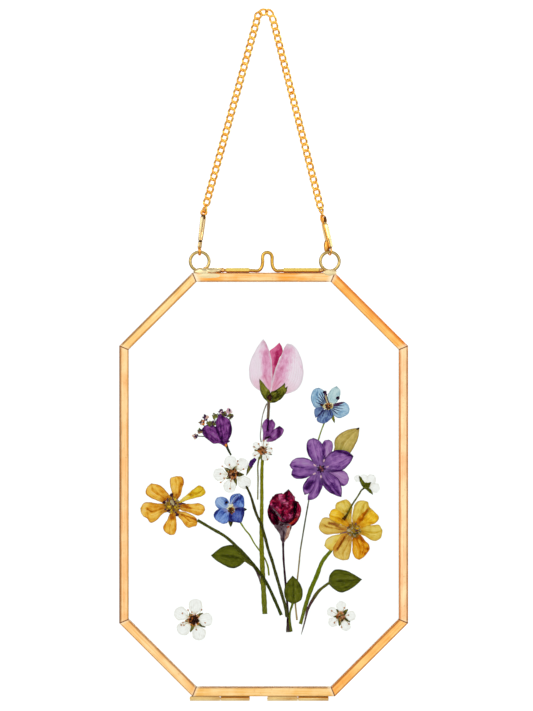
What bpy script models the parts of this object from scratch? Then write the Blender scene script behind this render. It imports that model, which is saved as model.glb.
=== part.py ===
"""Hanging pressed flower frame, in metres: +Z up, +X to the right, the front towards -Y.

Two eight-sided brass leaves, each glazed with one pane, are hinged together along the bottom and latched along
the top by a sprung wire. Dried flowers lie between the panes, in four layers from front to back. Two rings
soldered to the front leaf hang in the spring clasps of a curb chain. The origin is the point inside the chain's
top link where it hangs.
"""

import math

import bmesh
import bpy
import numpy as np
from mathutils import Matrix, Vector

# Driving sizes of the frame
FRAME_WIDTH = 0.150
FRAME_HEIGHT = 0.220
FRAME_TOP_Z = -0.1356
FRAME_MID_X = -0.00105
CORNER_CUT = 0.038
BAR_FACE = 0.0047
LEAF_DEPTH = 0.0036
LIP = 0.0004
GLASS_THICK = 0.0018
GLASS_BITE = 0.0021
GAP = 0.0003

# Driving sizes of the latch, the rings and the hinges, with X measured from the frame's middle
TUBE_RADIUS = 0.00125
TUBE_BORE = 0.00105
WIRE_RADIUS = 0.0008
GUIDE_SPANS = {"left": (-0.0193, -0.0076), "right": (0.0105, 0.0203)}
KEEPER_SPANS = {"left": (-0.0286, -0.0223), "right": (0.0206, 0.0296)}
LATCH_ENDS = (-0.0220, 0.0203)
LOOP_MID_X = 0.0017
LOOP_WIDTH = 0.0047
LOOP_HEIGHT = 0.01045
RING_X = {"left": -0.0333, "right": 0.0344}
RING_RADIUS = 0.0049
RING_WIRE = 0.0008
KNUCKLE_RADIUS = 0.00115
KNUCKLE_BORE = 0.00075
PIN_RADIUS = 0.00045
HINGE_SPANS = {"left": (-0.0384, -0.0225, -0.0073), "right": (0.0019, 0.0178, 0.0337)}

# Driving sizes of the chain and the clasps
LINK_PITCH = 0.00345
CHAIN_WIDTH = 0.0037
CHAIN_WAIST = 0.0028
CHAIN_THICK = 0.0017
CLASP_THICK = 0.0025
HOOK_RADIUS = 0.0020
HOOK_WIRE = 0.00055
EYE_RADIUS = 0.0014
EYE_WIRE = 0.0004

# The flowers are laid out by the photograph's pixels; this is a pixel's size and the pixel of the origin.
PIXEL = 0.00052
ORIGIN_PIXEL = (265.7, 12.0)
PRESSED_THICK = 0.00035
LAYER_PITCH = 0.0006

HALF_WIDTH = FRAME_WIDTH / 2
HALF_HEIGHT = FRAME_HEIGHT / 2
FRAME_MID_Z = FRAME_TOP_Z - HALF_HEIGHT
FRAME_BOTTOM_Z = FRAME_TOP_Z - FRAME_HEIGHT
LATCH_Z = FRAME_TOP_Z + 0.7 * GAP + TUBE_RADIUS
RING_Z = FRAME_TOP_Z + 0.8 * GAP + RING_RADIUS + RING_WIRE
SWING_Z = RING_Z + RING_RADIUS
HINGE_Z = FRAME_BOTTOM_Z - GAP - KNUCKLE_RADIUS
FRONT, BACK = -1, 1
SIDES = ("top", "top_right", "right", "bottom_right", "bottom", "bottom_left", "left", "top_left")


# ---------------------------------------------------------------- shared ways of making things

for leftover in list(bpy.data.objects):
    bpy.data.objects.remove(leftover, do_unlink=True)


def finish(name, colour, roughness, metallic=0.0, alpha=1.0):
    """A Principled material with one colour."""
    material = bpy.data.materials.new(name)
    material.use_nodes = True
    shader = material.node_tree.nodes["Principled BSDF"]
    shader.inputs["Base Color"].default_value = (*colour, 1.0)
    shader.inputs["Roughness"].default_value = roughness
    shader.inputs["Metallic"].default_value = metallic
    shader.inputs["Alpha"].default_value = alpha
    return material


def pivot(name, place, parent=None):
    """An empty on a joint's axis."""
    empty = bpy.data.objects.new(name, None)
    bpy.context.scene.collection.objects.link(empty)
    empty.empty_display_size = 0.01
    if parent:
        empty.parent = parent
        empty.matrix_parent_inverse = parent.matrix_basis.inverted()
    empty.location = place
    return empty


def solid(name, points, faces, material, carrier=None):
    """An object from points and faces in world coordinates, faces turned outwards, carried by an empty."""
    mesh = bpy.data.meshes.new(name)
    mesh.from_pydata([tuple(map(float, p)) for p in points], [], [tuple(map(int, f)) for f in faces])
    shell = bmesh.new()
    shell.from_mesh(mesh)
    bmesh.ops.recalc_face_normals(shell, faces=shell.faces)
    shell.to_mesh(mesh)
    shell.free()
    mesh.materials.append(material)
    thing = bpy.data.objects.new(name, mesh)
    bpy.context.scene.collection.objects.link(thing)
    if carrier:
        thing.parent = carrier
        thing.matrix_parent_inverse = Matrix.Translation(-Vector(carrier.location))
    return thing


def smooth(thing, angle=0.7):
    """Shades the round stretches smooth and keeps the edges."""
    thing.data.shade_smooth()
    thing.data.set_sharp_from_angle(angle=angle)
    return thing


def fuse(thing, *others):
    """Joins other solids to this one; they stay as hidden guides."""
    for other in others:
        join = thing.modifiers.new("join " + other.name, "BOOLEAN")
        join.operation = "UNION"
        join.solver = "EXACT"
        join.object = other
        other.hide_render = True
        other.display_type = "WIRE"
    return thing


def bridge(rings, count):
    """Faces between equal rings of points, and a cap on each end."""
    faces = [tuple(range(count - 1, -1, -1))]
    for i in range(rings - 1):
        for k in range(count):
            a, b = i * count + k, i * count + (k + 1) % count
            faces.append((a, b, b + count, a + count))
    faces.append(tuple((rings - 1) * count + k for k in range(count)))
    return faces


def sweep(name, path, half_widths, half_depths, y, material, carrier=None, sides=6):
    """A flattened bar along a path in the XZ plane: each section is an oval with its own width and depth."""
    path = np.array(path, float)
    run = np.gradient(path, axis=0)
    run /= np.linalg.norm(run, axis=1)[:, None]
    across = np.stack([run[:, 1], -run[:, 0]], axis=1)
    angle = np.arange(sides) * math.tau / sides
    half_widths = np.broadcast_to(half_widths, len(path))
    half_depths = np.broadcast_to(half_depths, len(path))
    plane = path[:, None] + across[:, None] * (half_widths[:, None] * np.cos(angle))[..., None]
    depth = y + half_depths[:, None] * np.sin(angle)
    points = np.stack([plane[..., 0], depth, plane[..., 1]], axis=-1).reshape(-1, 3)
    return smooth(solid(name, points, bridge(len(path), sides), material, carrier))


def torus(name, centre, radius, wire, material, carrier=None, turn=0.0, count=20, sides=6):
    """A ring in the XZ plane, turned about Z."""
    a = np.arange(count) * math.tau / count
    b = np.arange(sides) * math.tau / sides
    reach = radius + wire * np.cos(b)[None]
    flat = np.stack([np.cos(a)[:, None] * reach, np.sin(a)[:, None] * reach], axis=-1)
    lift = np.broadcast_to(wire * np.sin(b), (count, sides))
    points = np.stack(
        [flat[..., 0] * math.cos(turn) - lift * math.sin(turn),
         flat[..., 0] * math.sin(turn) + lift * math.cos(turn),
         flat[..., 1]], axis=-1).reshape(-1, 3) + centre
    faces = []
    for i in range(count):
        for k in range(sides):
            here, over = i * sides + k, i * sides + (k + 1) % sides
            step = ((i + 1) % count - i) * sides
            faces.append((here, over, over + step, here + step))
    return smooth(solid(name, points, faces, material, carrier), 1.2)


def rod(name, span, z, radius, material, carrier, sides=12, bore=0.0):
    """A round bar along X on the seam, or a tube where it has a bore."""
    a = np.arange(sides) * math.tau / sides
    circle = np.stack([np.cos(a), np.sin(a)], axis=1)
    if not bore:
        points = [(x, *(radius * c + (0.0, z))) for x in span for c in circle]
        return smooth(solid(name, points, bridge(2, sides), material, carrier))
    shells = ((span[0], radius), (span[1], radius), (span[1], bore), (span[0], bore))
    points = [(x, *(r * c + (0.0, z))) for x, r in shells for c in circle]
    faces = []
    for i in range(4):
        for k in range(sides):
            n = (k + 1) % sides
            j = (i + 1) % 4
            faces.append((i * sides + k, i * sides + n, j * sides + n, j * sides + k))
    return smooth(solid(name, points, faces, material, carrier))


def block(name, low, high, material, carrier=None):
    """A plain box between two corners."""
    (x0, y0, z0), (x1, y1, z1) = low, high
    points = [(x0, y0, z0), (x1, y0, z0), (x1, y1, z0), (x0, y1, z0),
              (x0, y0, z1), (x1, y0, z1), (x1, y1, z1), (x0, y1, z1)]
    faces = [(0, 3, 2, 1), (4, 5, 6, 7), (0, 1, 5, 4), (1, 2, 6, 5), (2, 3, 7, 6), (3, 0, 4, 7)]
    return solid(name, points, faces, material, carrier)


def drop(name, centre, half, material, carrier=None, rings=5, count=10):
    """A flattened ball of solder."""
    points = [(0, 0, -1)]
    for i in range(1, rings):
        tilt = math.pi * (i / rings - 0.5)
        for k in range(count):
            turn = math.tau * k / count
            points.append((math.cos(tilt) * math.cos(turn), math.cos(tilt) * math.sin(turn), math.sin(tilt)))
    points.append((0, 0, 1))
    faces = [(0, 1 + (k + 1) % count, 1 + k) for k in range(count)]
    for i in range(rings - 2):
        for k in range(count):
            a, b = 1 + i * count + k, 1 + i * count + (k + 1) % count
            faces.append((a, b, b + count, a + count))
    last = 1 + (rings - 2) * count
    faces += [(last + k, last + (k + 1) % count, len(points) - 1) for k in range(count)]
    points = np.array(points) * half + centre
    return smooth(solid(name, points, faces, material, carrier), 1.2)


# ---------------------------------------------------------------- the two leaves

BRASS = finish("peach brass", (0.80, 0.52, 0.24), 0.35, 1.0)
SOLDER = finish("pale solder", (0.80, 0.70, 0.45), 0.40, 1.0)
GLASS = finish("clear glass", (0.92, 0.95, 0.94), 0.05, alpha=0.3)

front_leaf = pivot("front_leaf_pivot", (FRAME_MID_X, 0.0, SWING_Z))
back_leaf = pivot("back_leaf_pivot", (FRAME_MID_X, 0.0, HINGE_Z), front_leaf)
LEAVES = {"front": (FRONT, front_leaf), "back": (BACK, back_leaf)}


def octagon(inset):
    """The frame's eight corners, clockwise from the top left, moved in by the inset."""
    side = inset * math.tan(math.pi / 8)
    wide, tall = HALF_WIDTH - inset, HALF_HEIGHT - inset
    short_x, short_z = HALF_WIDTH - CORNER_CUT - side, HALF_HEIGHT - CORNER_CUT - side
    corners = [(-short_x, tall), (short_x, tall), (wide, short_z), (wide, -short_z),
               (short_x, -tall), (-short_x, -tall), (-wide, -short_z), (-wide, short_z)]
    return np.array(corners) + (FRAME_MID_X, FRAME_MID_Z)


GROOVE_FLOOR = BAR_FACE - GLASS_BITE - GAP
GROOVE_BACK = LEAF_DEPTH - LIP - GLASS_THICK - 2 * GAP


def channel_bar(name, number, facing, carrier):
    """One brass channel, mitred at both ends; its groove takes the edge of the pane."""
    section = [(0, 0), (0, LEAF_DEPTH), (BAR_FACE, LEAF_DEPTH), (BAR_FACE, LEAF_DEPTH - LIP),
               (GROOVE_FLOOR, LEAF_DEPTH - LIP), (GROOVE_FLOOR, GROOVE_BACK), (BAR_FACE, GROOVE_BACK), (BAR_FACE, 0)]
    points = []
    for end in (0, 1):
        for inset, depth in section:
            corners = octagon(inset)
            a, b = corners[number], corners[(number + 1) % 8]
            along = (b - a) / np.linalg.norm(b - a)
            trim = GAP / 2 / math.cos(math.pi / 8)
            x, z = (a + trim * along, b - trim * along)[end]
            points.append((x, facing * (GAP / 2 + depth), z))
    return solid(name, points, bridge(2, len(section)), BRASS, carrier)


def pane(name, facing, carrier):
    """A pane of glass whose edge stands in the channels."""
    rim = octagon(GROOVE_FLOOR + GAP)
    near = facing * (GAP / 2 + GROOVE_BACK + GAP)
    far = near + facing * GLASS_THICK
    points = [(x, y, z) for y in (near, far) for x, z in rim]
    return solid(name, points, bridge(2, 8), GLASS, carrier)


for leaf, (facing, carrier) in LEAVES.items():
    for number, side in enumerate(SIDES):
        channel_bar(f"{leaf}_bar_{side}", number, facing, carrier)
    pane(f"{leaf}_glass", facing, carrier)


# ---------------------------------------------------------------- latch along the top

OLIVE_BRASS = finish("olive brass", (0.55, 0.42, 0.12), 0.35, 1.0)

for side in ("left", "right"):
    guide = np.array(GUIDE_SPANS[side]) + FRAME_MID_X
    keeper = np.array(KEEPER_SPANS[side]) + FRAME_MID_X
    rod(f"guide_tube_{side}", guide, LATCH_Z, TUBE_RADIUS, OLIVE_BRASS, back_leaf, bore=TUBE_BORE)
    rod(f"keeper_tube_{side}", keeper, LATCH_Z, TUBE_RADIUS, OLIVE_BRASS, front_leaf, bore=TUBE_BORE)

FOOT_REACH = 0.0037
FOOT_CURVE = [(1.0, 0.0), (0.6, 0.025), (0.25, 0.115), (0.07, 0.25), (0.0, 0.42)]


def latch_path():
    """The wire runs out of one tube, up round the pinch loop and into the other tube."""
    half = LOOP_WIDTH / 2
    crown = LOOP_HEIGHT - WIRE_RADIUS - half
    foot = [(-half - FOOT_REACH * out, crown * up * 1.35) for out, up in FOOT_CURVE]
    arch = [(-half * math.cos(t), crown + half * math.sin(t)) for t in np.linspace(0, math.pi, 9)]
    rise = foot + arch
    whole = [(LATCH_ENDS[0] - LOOP_MID_X, 0.0), *rise, *[(-x, z) for x, z in foot[::-1]]]
    whole.append((LATCH_ENDS[1] - LOOP_MID_X, 0.0))
    return np.array(whole) + (FRAME_MID_X + LOOP_MID_X, LATCH_Z)


sweep("latch_wire", latch_path(), WIRE_RADIUS, WIRE_RADIUS, 0.0, OLIVE_BRASS, back_leaf, sides=8)


# ---------------------------------------------------------------- hanging rings on solder feet

FOOT_HALF = np.array((0.0043, 0.0026, 0.00078))
FOOT_Y = -0.0019
RUN_HALF = np.array((0.0034, 0.00028, 0.0017))

for side, x in RING_X.items():
    middle = np.array((x + FRAME_MID_X, 0.0, RING_Z))
    ring = torus(f"ring_{side}", middle, RING_RADIUS, RING_WIRE, SOLDER, front_leaf)
    foot_z = FRAME_TOP_Z + GAP + FOOT_HALF[2]
    foot = drop(f"foot_{side}", (middle[0], FOOT_Y, foot_z), FOOT_HALF, SOLDER)
    run_y = FRONT * (GAP / 2 + LEAF_DEPTH + GAP + RUN_HALF[1])
    run = drop(f"run_{side}", (middle[0] + 0.0012, run_y, FRAME_TOP_Z - 0.0004), RUN_HALF, SOLDER)
    fuse(ring, foot, run)


# ---------------------------------------------------------------- hinges along the bottom

TAB_REACH = 0.0024
TAB_START = 0.0005
TAB_THICK = 0.0005

for side, (start, joint, end) in HINGE_SPANS.items():
    spans = {"front": (start, joint - GAP / 2), "back": (joint + GAP / 2, end)}
    for leaf, (facing, carrier) in LEAVES.items():
        span = np.array(spans[leaf]) + FRAME_MID_X
        name = f"{leaf}_knuckle_{side}"
        knuckle = rod(name, span, HINGE_Z, KNUCKLE_RADIUS, BRASS, carrier, bore=KNUCKLE_BORE)
        top = FRAME_BOTTOM_Z - GAP
        tab_x = (max(span[0], FRAME_MID_X - HALF_WIDTH + CORNER_CUT) + GAP, span[1] - GAP)
        ys = sorted((facing * TAB_START, facing * TAB_REACH))
        tab = block("tab_" + name, (tab_x[0], ys[0], top - TAB_THICK), (tab_x[1], ys[1], top), BRASS)
        fuse(knuckle, tab)
    pin = np.array((start - GAP, end + GAP)) + FRAME_MID_X
    rod(f"hinge_pin_{side}", pin, HINGE_Z, PIN_RADIUS, OLIVE_BRASS, front_leaf, sides=10)


# ---------------------------------------------------------------- the flowers between the panes

def spot(pixel):
    """A pixel of the photograph as a place (x, z) on the frame."""
    return (np.array(pixel, float) - ORIGIN_PIXEL) * (PIXEL, -PIXEL)


def layer_y(layer):
    """The middle of a layer: 0 is next to the front pane, 3 next to the back one."""
    return (layer - 1.5) * LAYER_PITCH


def pressed_head(name, outline, centre, layer, material, carrier=front_leaf):
    """A flat flower head: thickest near its centre, thin at the rim, and flat behind."""
    rim = spot(outline)
    heart = spot(centre)
    count = len(rim)
    mid = heart + 0.45 * (rim - heart)
    half = PRESSED_THICK / 2
    y = layer_y(layer)
    rows = ((mid, y - 0.9 * half), (rim, y - 0.35 * half), (rim, y + 0.6 * half))
    points = [(heart[0], y - half, heart[1])]
    for row, depth in rows:
        points += [(px, depth, pz) for px, pz in row]
    points.append((heart[0], y + 0.6 * half, heart[1]))
    faces = []
    for k in range(count):
        n = (k + 1) % count
        faces.append((0, 1 + n, 1 + k))
        for row in range(2):
            a, b = 1 + row * count + k, 1 + row * count + n
            faces.append((a, b, b + count, a + count))
        faces.append((1 + 2 * count + k, 1 + 2 * count + n, len(points) - 1))
    return solid(name, points, faces, material, carrier)


def stalk(name, path, widths, layer, material, carrier=front_leaf, sides=6, flat=1.0):
    """A pressed stem or leaf: a flat ribbon along a path, with a full width at each point, in pixels."""
    widths = np.array(widths) if np.ndim(widths) else np.full(len(path), widths)
    half = widths * PIXEL / 2
    depth = np.minimum(half, flat * PRESSED_THICK / 2)
    return sweep(name, spot(path), half, depth, layer_y(layer), material, carrier, sides)


def round_petals(centre, petals, core, count=40):
    """The outline of a flower of round petals: in each direction, the furthest that any petal reaches."""
    out = []
    for turn in np.arange(count) * math.tau / count:
        reach = core
        for x, y, radius in petals:
            far = math.hypot(x - centre[0], y - centre[1])
            off = turn - math.atan2(y - centre[1], x - centre[0])
            miss = far * math.sin(off)
            if abs(miss) < radius and math.cos(off) > 0:
                reach = max(reach, far * math.cos(off) + math.sqrt(radius**2 - miss**2))
        out.append((centre[0] + reach * math.cos(turn), centre[1] + reach * math.sin(turn)))
    return out


PINK = finish("faded pink petal", (0.75, 0.42, 0.55), 0.7)
GREEN = finish("dried green stem", (0.30, 0.30, 0.05), 0.7)
DARK_GREEN = finish("dark green leaf", (0.10, 0.13, 0.03), 0.7)
OLIVE = finish("olive leaf", (0.52, 0.40, 0.08), 0.7)
TAN = finish("tan stem", (0.45, 0.36, 0.20), 0.7)
PALE_BLUE = finish("pale blue petal", (0.50, 0.66, 0.80), 0.7)
BLUE = finish("blue petal", (0.25, 0.33, 0.62), 0.7)
PURPLE = finish("purple petal", (0.26, 0.10, 0.36), 0.7)
DARK_PURPLE = finish("dark purple petal", (0.12, 0.04, 0.16), 0.7)
WHITE = finish("white petal", (0.82, 0.82, 0.78), 0.7)
YELLOW = finish("yellow petal", (0.80, 0.45, 0.05), 0.7)
RED = finish("dark red petal", (0.35, 0.02, 0.03), 0.7)
RED_STEM = finish("purple brown stem", (0.12, 0.06, 0.06), 0.7)

# Outlines of the heads, in the photograph's pixels, clockwise
PINK_BLOSSOM = [
    (264, 396), (258.8, 389.1), (251.3, 382), (249.4, 370.6), (254, 353.3), (263.2, 339.2), (269.7, 350.5),
    (279.4, 342.7), (283.5, 350), (287.5, 344.1), (291.9, 344.5), (299, 353.8), (303.3, 369), (301.7, 380),
    (296.2, 390.2), (288.7, 392.9), (284.9, 395), (279.4, 400.4), (272.4, 403), (267, 401.5)]
VIOLET_FLORET = [
    (262, 438), (263.6, 434), (262.6, 428), (263, 423.6), (268.6, 418), (272.4, 419), (274.8, 424.5),
    (275.7, 428.6), (278.6, 426), (283.7, 429.5), (281.5, 434.8), (269.5, 438.4)]
PALE_BLUE_FLOWER = [
    (310.9, 397), (317.9, 388), (323.7, 391.6), (327, 393), (337.1, 385.8), (341, 392.5), (338.5, 400),
    (343.8, 401.7), (349.6, 408.6), (346.4, 414.8), (339.3, 417.5), (334.4, 422.4), (331.3, 418.8),
    (326.8, 422.9), (321.4, 423.3), (316.5, 420.2), (314.3, 410.4), (312, 406)]
OLIVE_LEAF = [
    (359.4, 428.2), (349.1, 429.3), (339.3, 433.6), (334.8, 439.8), (334.3, 449), (333.1, 453), (340, 454),
    (348.3, 452.5), (352.7, 447), (357.1, 440.3)]
PURPLE_FLOWER = [
    (312.5, 438), (317.5, 440), (321.2, 443.6), (324.4, 446), (327.2, 440), (332.3, 444), (331.5, 452.5),
    (341.2, 450.3), (353.2, 456), (347.8, 464.7), (342.3, 470), (348.8, 477.7), (345, 485.3), (341, 487),
    (340.7, 497.2), (332, 494.5), (325, 489), (321.7, 487.5), (317.9, 496), (310.4, 500), (306.5, 494),
    (303.3, 489.6), (303.8, 484), (307.5, 478.9), (303.3, 478.8), (296.3, 478), (291.7, 474.4), (293.3, 469),
    (290, 464), (300, 457.6), (308.7, 458), (306.6, 446)]
PURPLE_CLUSTER = [
    (220.2, 411.2), (229.4, 418.7), (231.6, 429), (231, 435.7), (228.5, 441), (228.5, 447), (231.5, 455),
    (227.5, 456), (223.5, 447.5), (219.4, 445.5), (214, 444.5), (204.9, 439), (196, 437), (196, 431),
    (202.8, 429.4), (201, 423), (208.6, 424), (215, 426), (216.7, 418)]
WHITE_BUD = [
    (359, 474.5), (363, 476), (367, 476.5), (371, 474.2), (375.5, 478), (376, 484), (379.4, 488), (376, 492.5),
    (372.8, 495), (367, 490.5), (363, 490.5), (360, 487), (354.6, 480), (355, 476.5)]
LEFT_YELLOW = [
    (170.5, 484), (174.8, 476.5), (181.4, 477), (183.7, 482), (180, 497), (199.8, 485.4), (205.4, 492.6),
    (203.4, 495), (190, 501.5), (199.8, 503.8), (204.6, 508.9), (201.3, 514.5), (193.7, 513.5), (188, 512),
    (196.7, 520), (196.2, 525), (190, 527.2), (185, 523.7), (178, 516), (176, 529.3), (171.7, 534.6),
    (165.6, 531.8), (163.6, 527.8), (166, 514), (157.4, 519), (150.8, 522.7), (146.7, 517), (142.7, 515.5),
    (140.6, 508.4), (147.8, 502.8), (159, 503.5), (152.9, 499.2), (146, 493), (151.3, 483), (160, 485),
    (169, 497)]
BLUE_FLOWER = [
    (215.5, 500.8), (218.3, 497.3), (223.9, 497.3), (228.2, 500), (230.3, 499), (233, 495.2), (237.3, 493.6),
    (241.8, 494.8), (243.8, 500.8), (243.8, 508), (244, 514), (242.5, 518.7), (241, 522.9), (235.5, 521.8),
    (231, 526), (227.5, 521.8), (223.2, 523.6), (218.3, 521), (214.3, 517.3), (214.3, 513), (217.5, 508.8)]
RED_FLOWER = [
    (288.3, 488.9), (281.3, 492.9), (275, 494.7), (271.5, 499.6), (268.8, 505.4), (268.2, 515.7), (271, 522),
    (274.2, 526.5), (278, 534), (281.5, 541.6), (284.5, 541.6), (288, 534), (291.6, 526.4), (296.5, 522.9),
    (299.6, 516.6), (300.5, 506.8), (296, 499.6), (292.9, 495.6)]
RIGHT_YELLOW = [
    (335.4, 506.8), (337.4, 502.8), (345.6, 499.7), (350.7, 503.8), (351.5, 513), (353.5, 513), (355.8, 504.3),
    (359.9, 501.5), (367, 502.2), (368.6, 506.3), (373.7, 511), (378.3, 518.6), (375.2, 522.7), (367.5, 525.5),
    (376.2, 525.2), (381.8, 528.8), (382.3, 534), (379.3, 540), (374.2, 540.5), (367, 537.4), (362, 536.5),
    (368.6, 544), (369.6, 548.2), (366.5, 550.7), (364, 556.3), (358.9, 559.4), (355.3, 557.3), (352.8, 552),
    (350.7, 551.5), (347.7, 559.4), (342, 560), (336.4, 557.3), (333.4, 552.8), (334.5, 548.5), (330.8, 549.2),
    (325.2, 543), (327.2, 539), (336, 535), (327.8, 534.4), (322.7, 533), (319, 527.8), (320, 522.7),
    (324.2, 518), (331, 519.5), (329.3, 514.5), (332.9, 509.4), (337, 510.5)]

pressed_head("pink_blossom", PINK_BLOSSOM, (272, 382), 0, PINK)
pressed_head("violet_floret", VIOLET_FLORET, (270, 431), 0, PURPLE)
pressed_head("pale_blue_flower", PALE_BLUE_FLOWER, (328.6, 405.9), 1, PALE_BLUE)
pressed_head("olive_leaf", OLIVE_LEAF, (345, 441), 2, OLIVE)
pressed_head("purple_flower", PURPLE_FLOWER, (321.2, 469), 1, PURPLE)
pressed_head("purple_cluster", PURPLE_CLUSTER, (220, 438), 2, DARK_PURPLE)
pressed_head("left_yellow_flower", LEFT_YELLOW, (173.8, 504.8), 1, YELLOW)
pressed_head("blue_flower", BLUE_FLOWER, (232, 510.6), 2, BLUE)
pressed_head("red_flower", RED_FLOWER, (284, 510), 1, RED)
pressed_head("right_yellow_flower", RIGHT_YELLOW, (352.8, 530.3), 2, YELLOW)

# Flowers of five round petals: centre, petals as (x, y, radius), in pixels
ROUND_FLOWERS = {
    "small_white_flower": ((262.8, 450.6), 0, 4.0, [
        (265.3, 442.7, 3.3), (255.8, 445.8, 3.5), (269.5, 450.2, 3.5), (255.4, 455.1, 3.5), (265.7, 457.6, 3.5)]),
    "middle_white_flower": ((233.6, 474.2), 1, 6.5, [
        (229.8, 460.5, 6.2), (241.9, 464.3, 6.0), (246.7, 483.5, 6.0), (229.1, 486.7, 6.3), (218.9, 474.9, 6.0)]),
    "left_white_flower": ((194.1, 619.9), 1, 6.5, [
        (195.6, 605.3, 6.3), (180.3, 613.4, 6.2), (206.3, 619.5, 6.0), (183.4, 628.7, 6.2), (199.1, 634, 6.3)]),
    "right_white_flower": ((341, 616.2), 1, 5.0, [
        (341.2, 605.6, 4.6), (331.5, 611.6, 4.5), (351.3, 615.7, 4.5), (332.6, 622.3, 4.5), (345.8, 626.3, 4.6)]),
}
for name, (centre, layer, core, petals) in ROUND_FLOWERS.items():
    outline = round_petals(centre, petals, core)
    pressed_head(name, outline, centre, layer, WHITE)

stalk("pink_stem", [
    (268.8, 399), (268, 418), (265, 440), (262.5, 460), (261.8, 500), (261.7, 550), (263.2, 583), (264.9, 614)],
    [2.6, 2.6, 3.0, 3.2, 3.6, 4.4, 4.8, 4.9], 1, GREEN)
stalk("pale_blue_stem", [
    (325, 416), (318.3, 439.8), (312.5, 475), (309, 499.6), (305.4, 520), (300.5, 550), (297.4, 580),
    (295.5, 603.5), (297.1, 620.3)], 1.5, 3, TAN)
stalk("middle_white_stem", [
    (247.5, 488), (251.5, 499), (257.6, 516.6), (264.8, 535.8), (268.4, 549.6), (272.3, 561), (277.9, 580.5),
    (282.1, 595), (286.3, 610.7), (287, 617)], 3.0, 0, DARK_GREEN)
stalk("left_yellow_stem", [
    (198.5, 521.5), (212, 528.5), (225.3, 536.3), (235, 544.7), (243.5, 553), (251.2, 561.6), (260.4, 573.5),
    (266.7, 583), (273.7, 597.4), (281.4, 615)], 2.8, 0, DARK_GREEN)
stalk("blue_stem", [
    (240.5, 520), (248.9, 534), (254.7, 544), (260.4, 551.8), (265.3, 559.5), (268, 567), (269, 575.6)],
    2.2, 3, GREEN)
stalk("red_stem", [
    (283, 539), (283.5, 558), (285.3, 580.5), (287, 600), (288, 617.7), (288.8, 632)],
    [2.4, 2.2, 2.0, 2.0, 2.4, 5.0], 2, RED_STEM)
stalk("right_yellow_stem", [
    (333, 546), (329.6, 550), (322.7, 561.4), (316.6, 576.7), (311.2, 589), (305.9, 605), (300.5, 624.2)],
    3.9, 3, GREEN)
stalk("leaf_left", [
    (211.2, 555.6), (217, 556), (226, 556), (236, 557), (242, 557.6), (246, 560), (254.7, 567), (258.9, 576),
    (260.7, 584)], [0.6, 9, 19.2, 20.6, 14, 4.4, 3.4, 2.2, 1.4], 2, DARK_GREEN)
stalk("leaf_right", [
    (361.7, 579.4), (355, 579.5), (346, 580.5), (337, 581), (331, 582), (327, 584), (318.9, 591), (312.7, 600),
    (308, 609), (305, 621), (301.3, 634.5)], [0.6, 10, 20, 20.4, 13, 4.4, 3, 2.6, 2.2, 1.8, 1.4], 1, DARK_GREEN)
stalk("leaf_middle", [
    (292.5, 576), (293, 583), (293.2, 590), (293.4, 597), (293.6, 603), (293, 606), (290.6, 610), (289.8, 620),
    (290.9, 632)], [0.6, 13, 17.6, 14.4, 6, 3.2, 3, 2.6, 2.2], 1, DARK_GREEN)

white_bud = pressed_head("white_bud", WHITE_BUD, (366, 484), 0, WHITE)
fuse(white_bud, stalk("bud_stem", [
    (365.5, 486), (359.4, 493.7), (352.2, 504.8), (347.7, 513.5), (343.1, 519.6)], 2.2, 0, GREEN, None, flat=0.7))
small_flower = bpy.data.objects["small_white_flower"]
violet_bud = stalk("violet_bud", [
    (256.4, 455), (254.3, 458.6), (250.5, 465.9), (246.4, 475.5)], [4.5, 5.2, 5, 1.2], 0, PURPLE, None, flat=0.85)
thin_stem = stalk("thin_stem", [(262, 453.5), (259.6, 463), (258, 480), (258, 499)], 1.8, 0, GREEN, None, flat=0.7)
fuse(small_flower, violet_bud, thin_stem)


# ---------------------------------------------------------------- clasps and chain

CHAIN_GOLD = finish("deep gold", (0.78, 0.42, 0.07), 0.25, 1.0)
PALE_GOLD = finish("pale gold", (0.80, 0.62, 0.28), 0.25, 1.0)

# Where each clasp's eye is, and which way its flat side is turned about Z
CLASPS = {"left": ((203.9, 212.5), 0.0), "right": ((322.4, 216.5), math.radians(25))}
# A clasp's body from its eye down to its hook: share of the way, half thickness and half breadth
CLASP_SECTIONS = [
    (0.07, 0.0007, 0.0008), (0.12, 0.00115, 0.0015), (0.40, 0.00125, 0.0026), (0.72, 0.00125, 0.0027),
    (0.80, 0.00100, 0.0022), (0.97, 0.00080, 0.0013)]
HOOK_LIFT = HOOK_RADIUS - HOOK_WIRE - RING_WIRE - GAP
STRAND_TOPS = {"left": (258.2, 16.3), "right": (269.9, 14.0)}
TOP_LINK = [(269.9, 12.6), (268.3, 10.9), (266.0, 10.35), (263.6, 10.5), (261.2, 11.7), (259.4, 13.9)]

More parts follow.
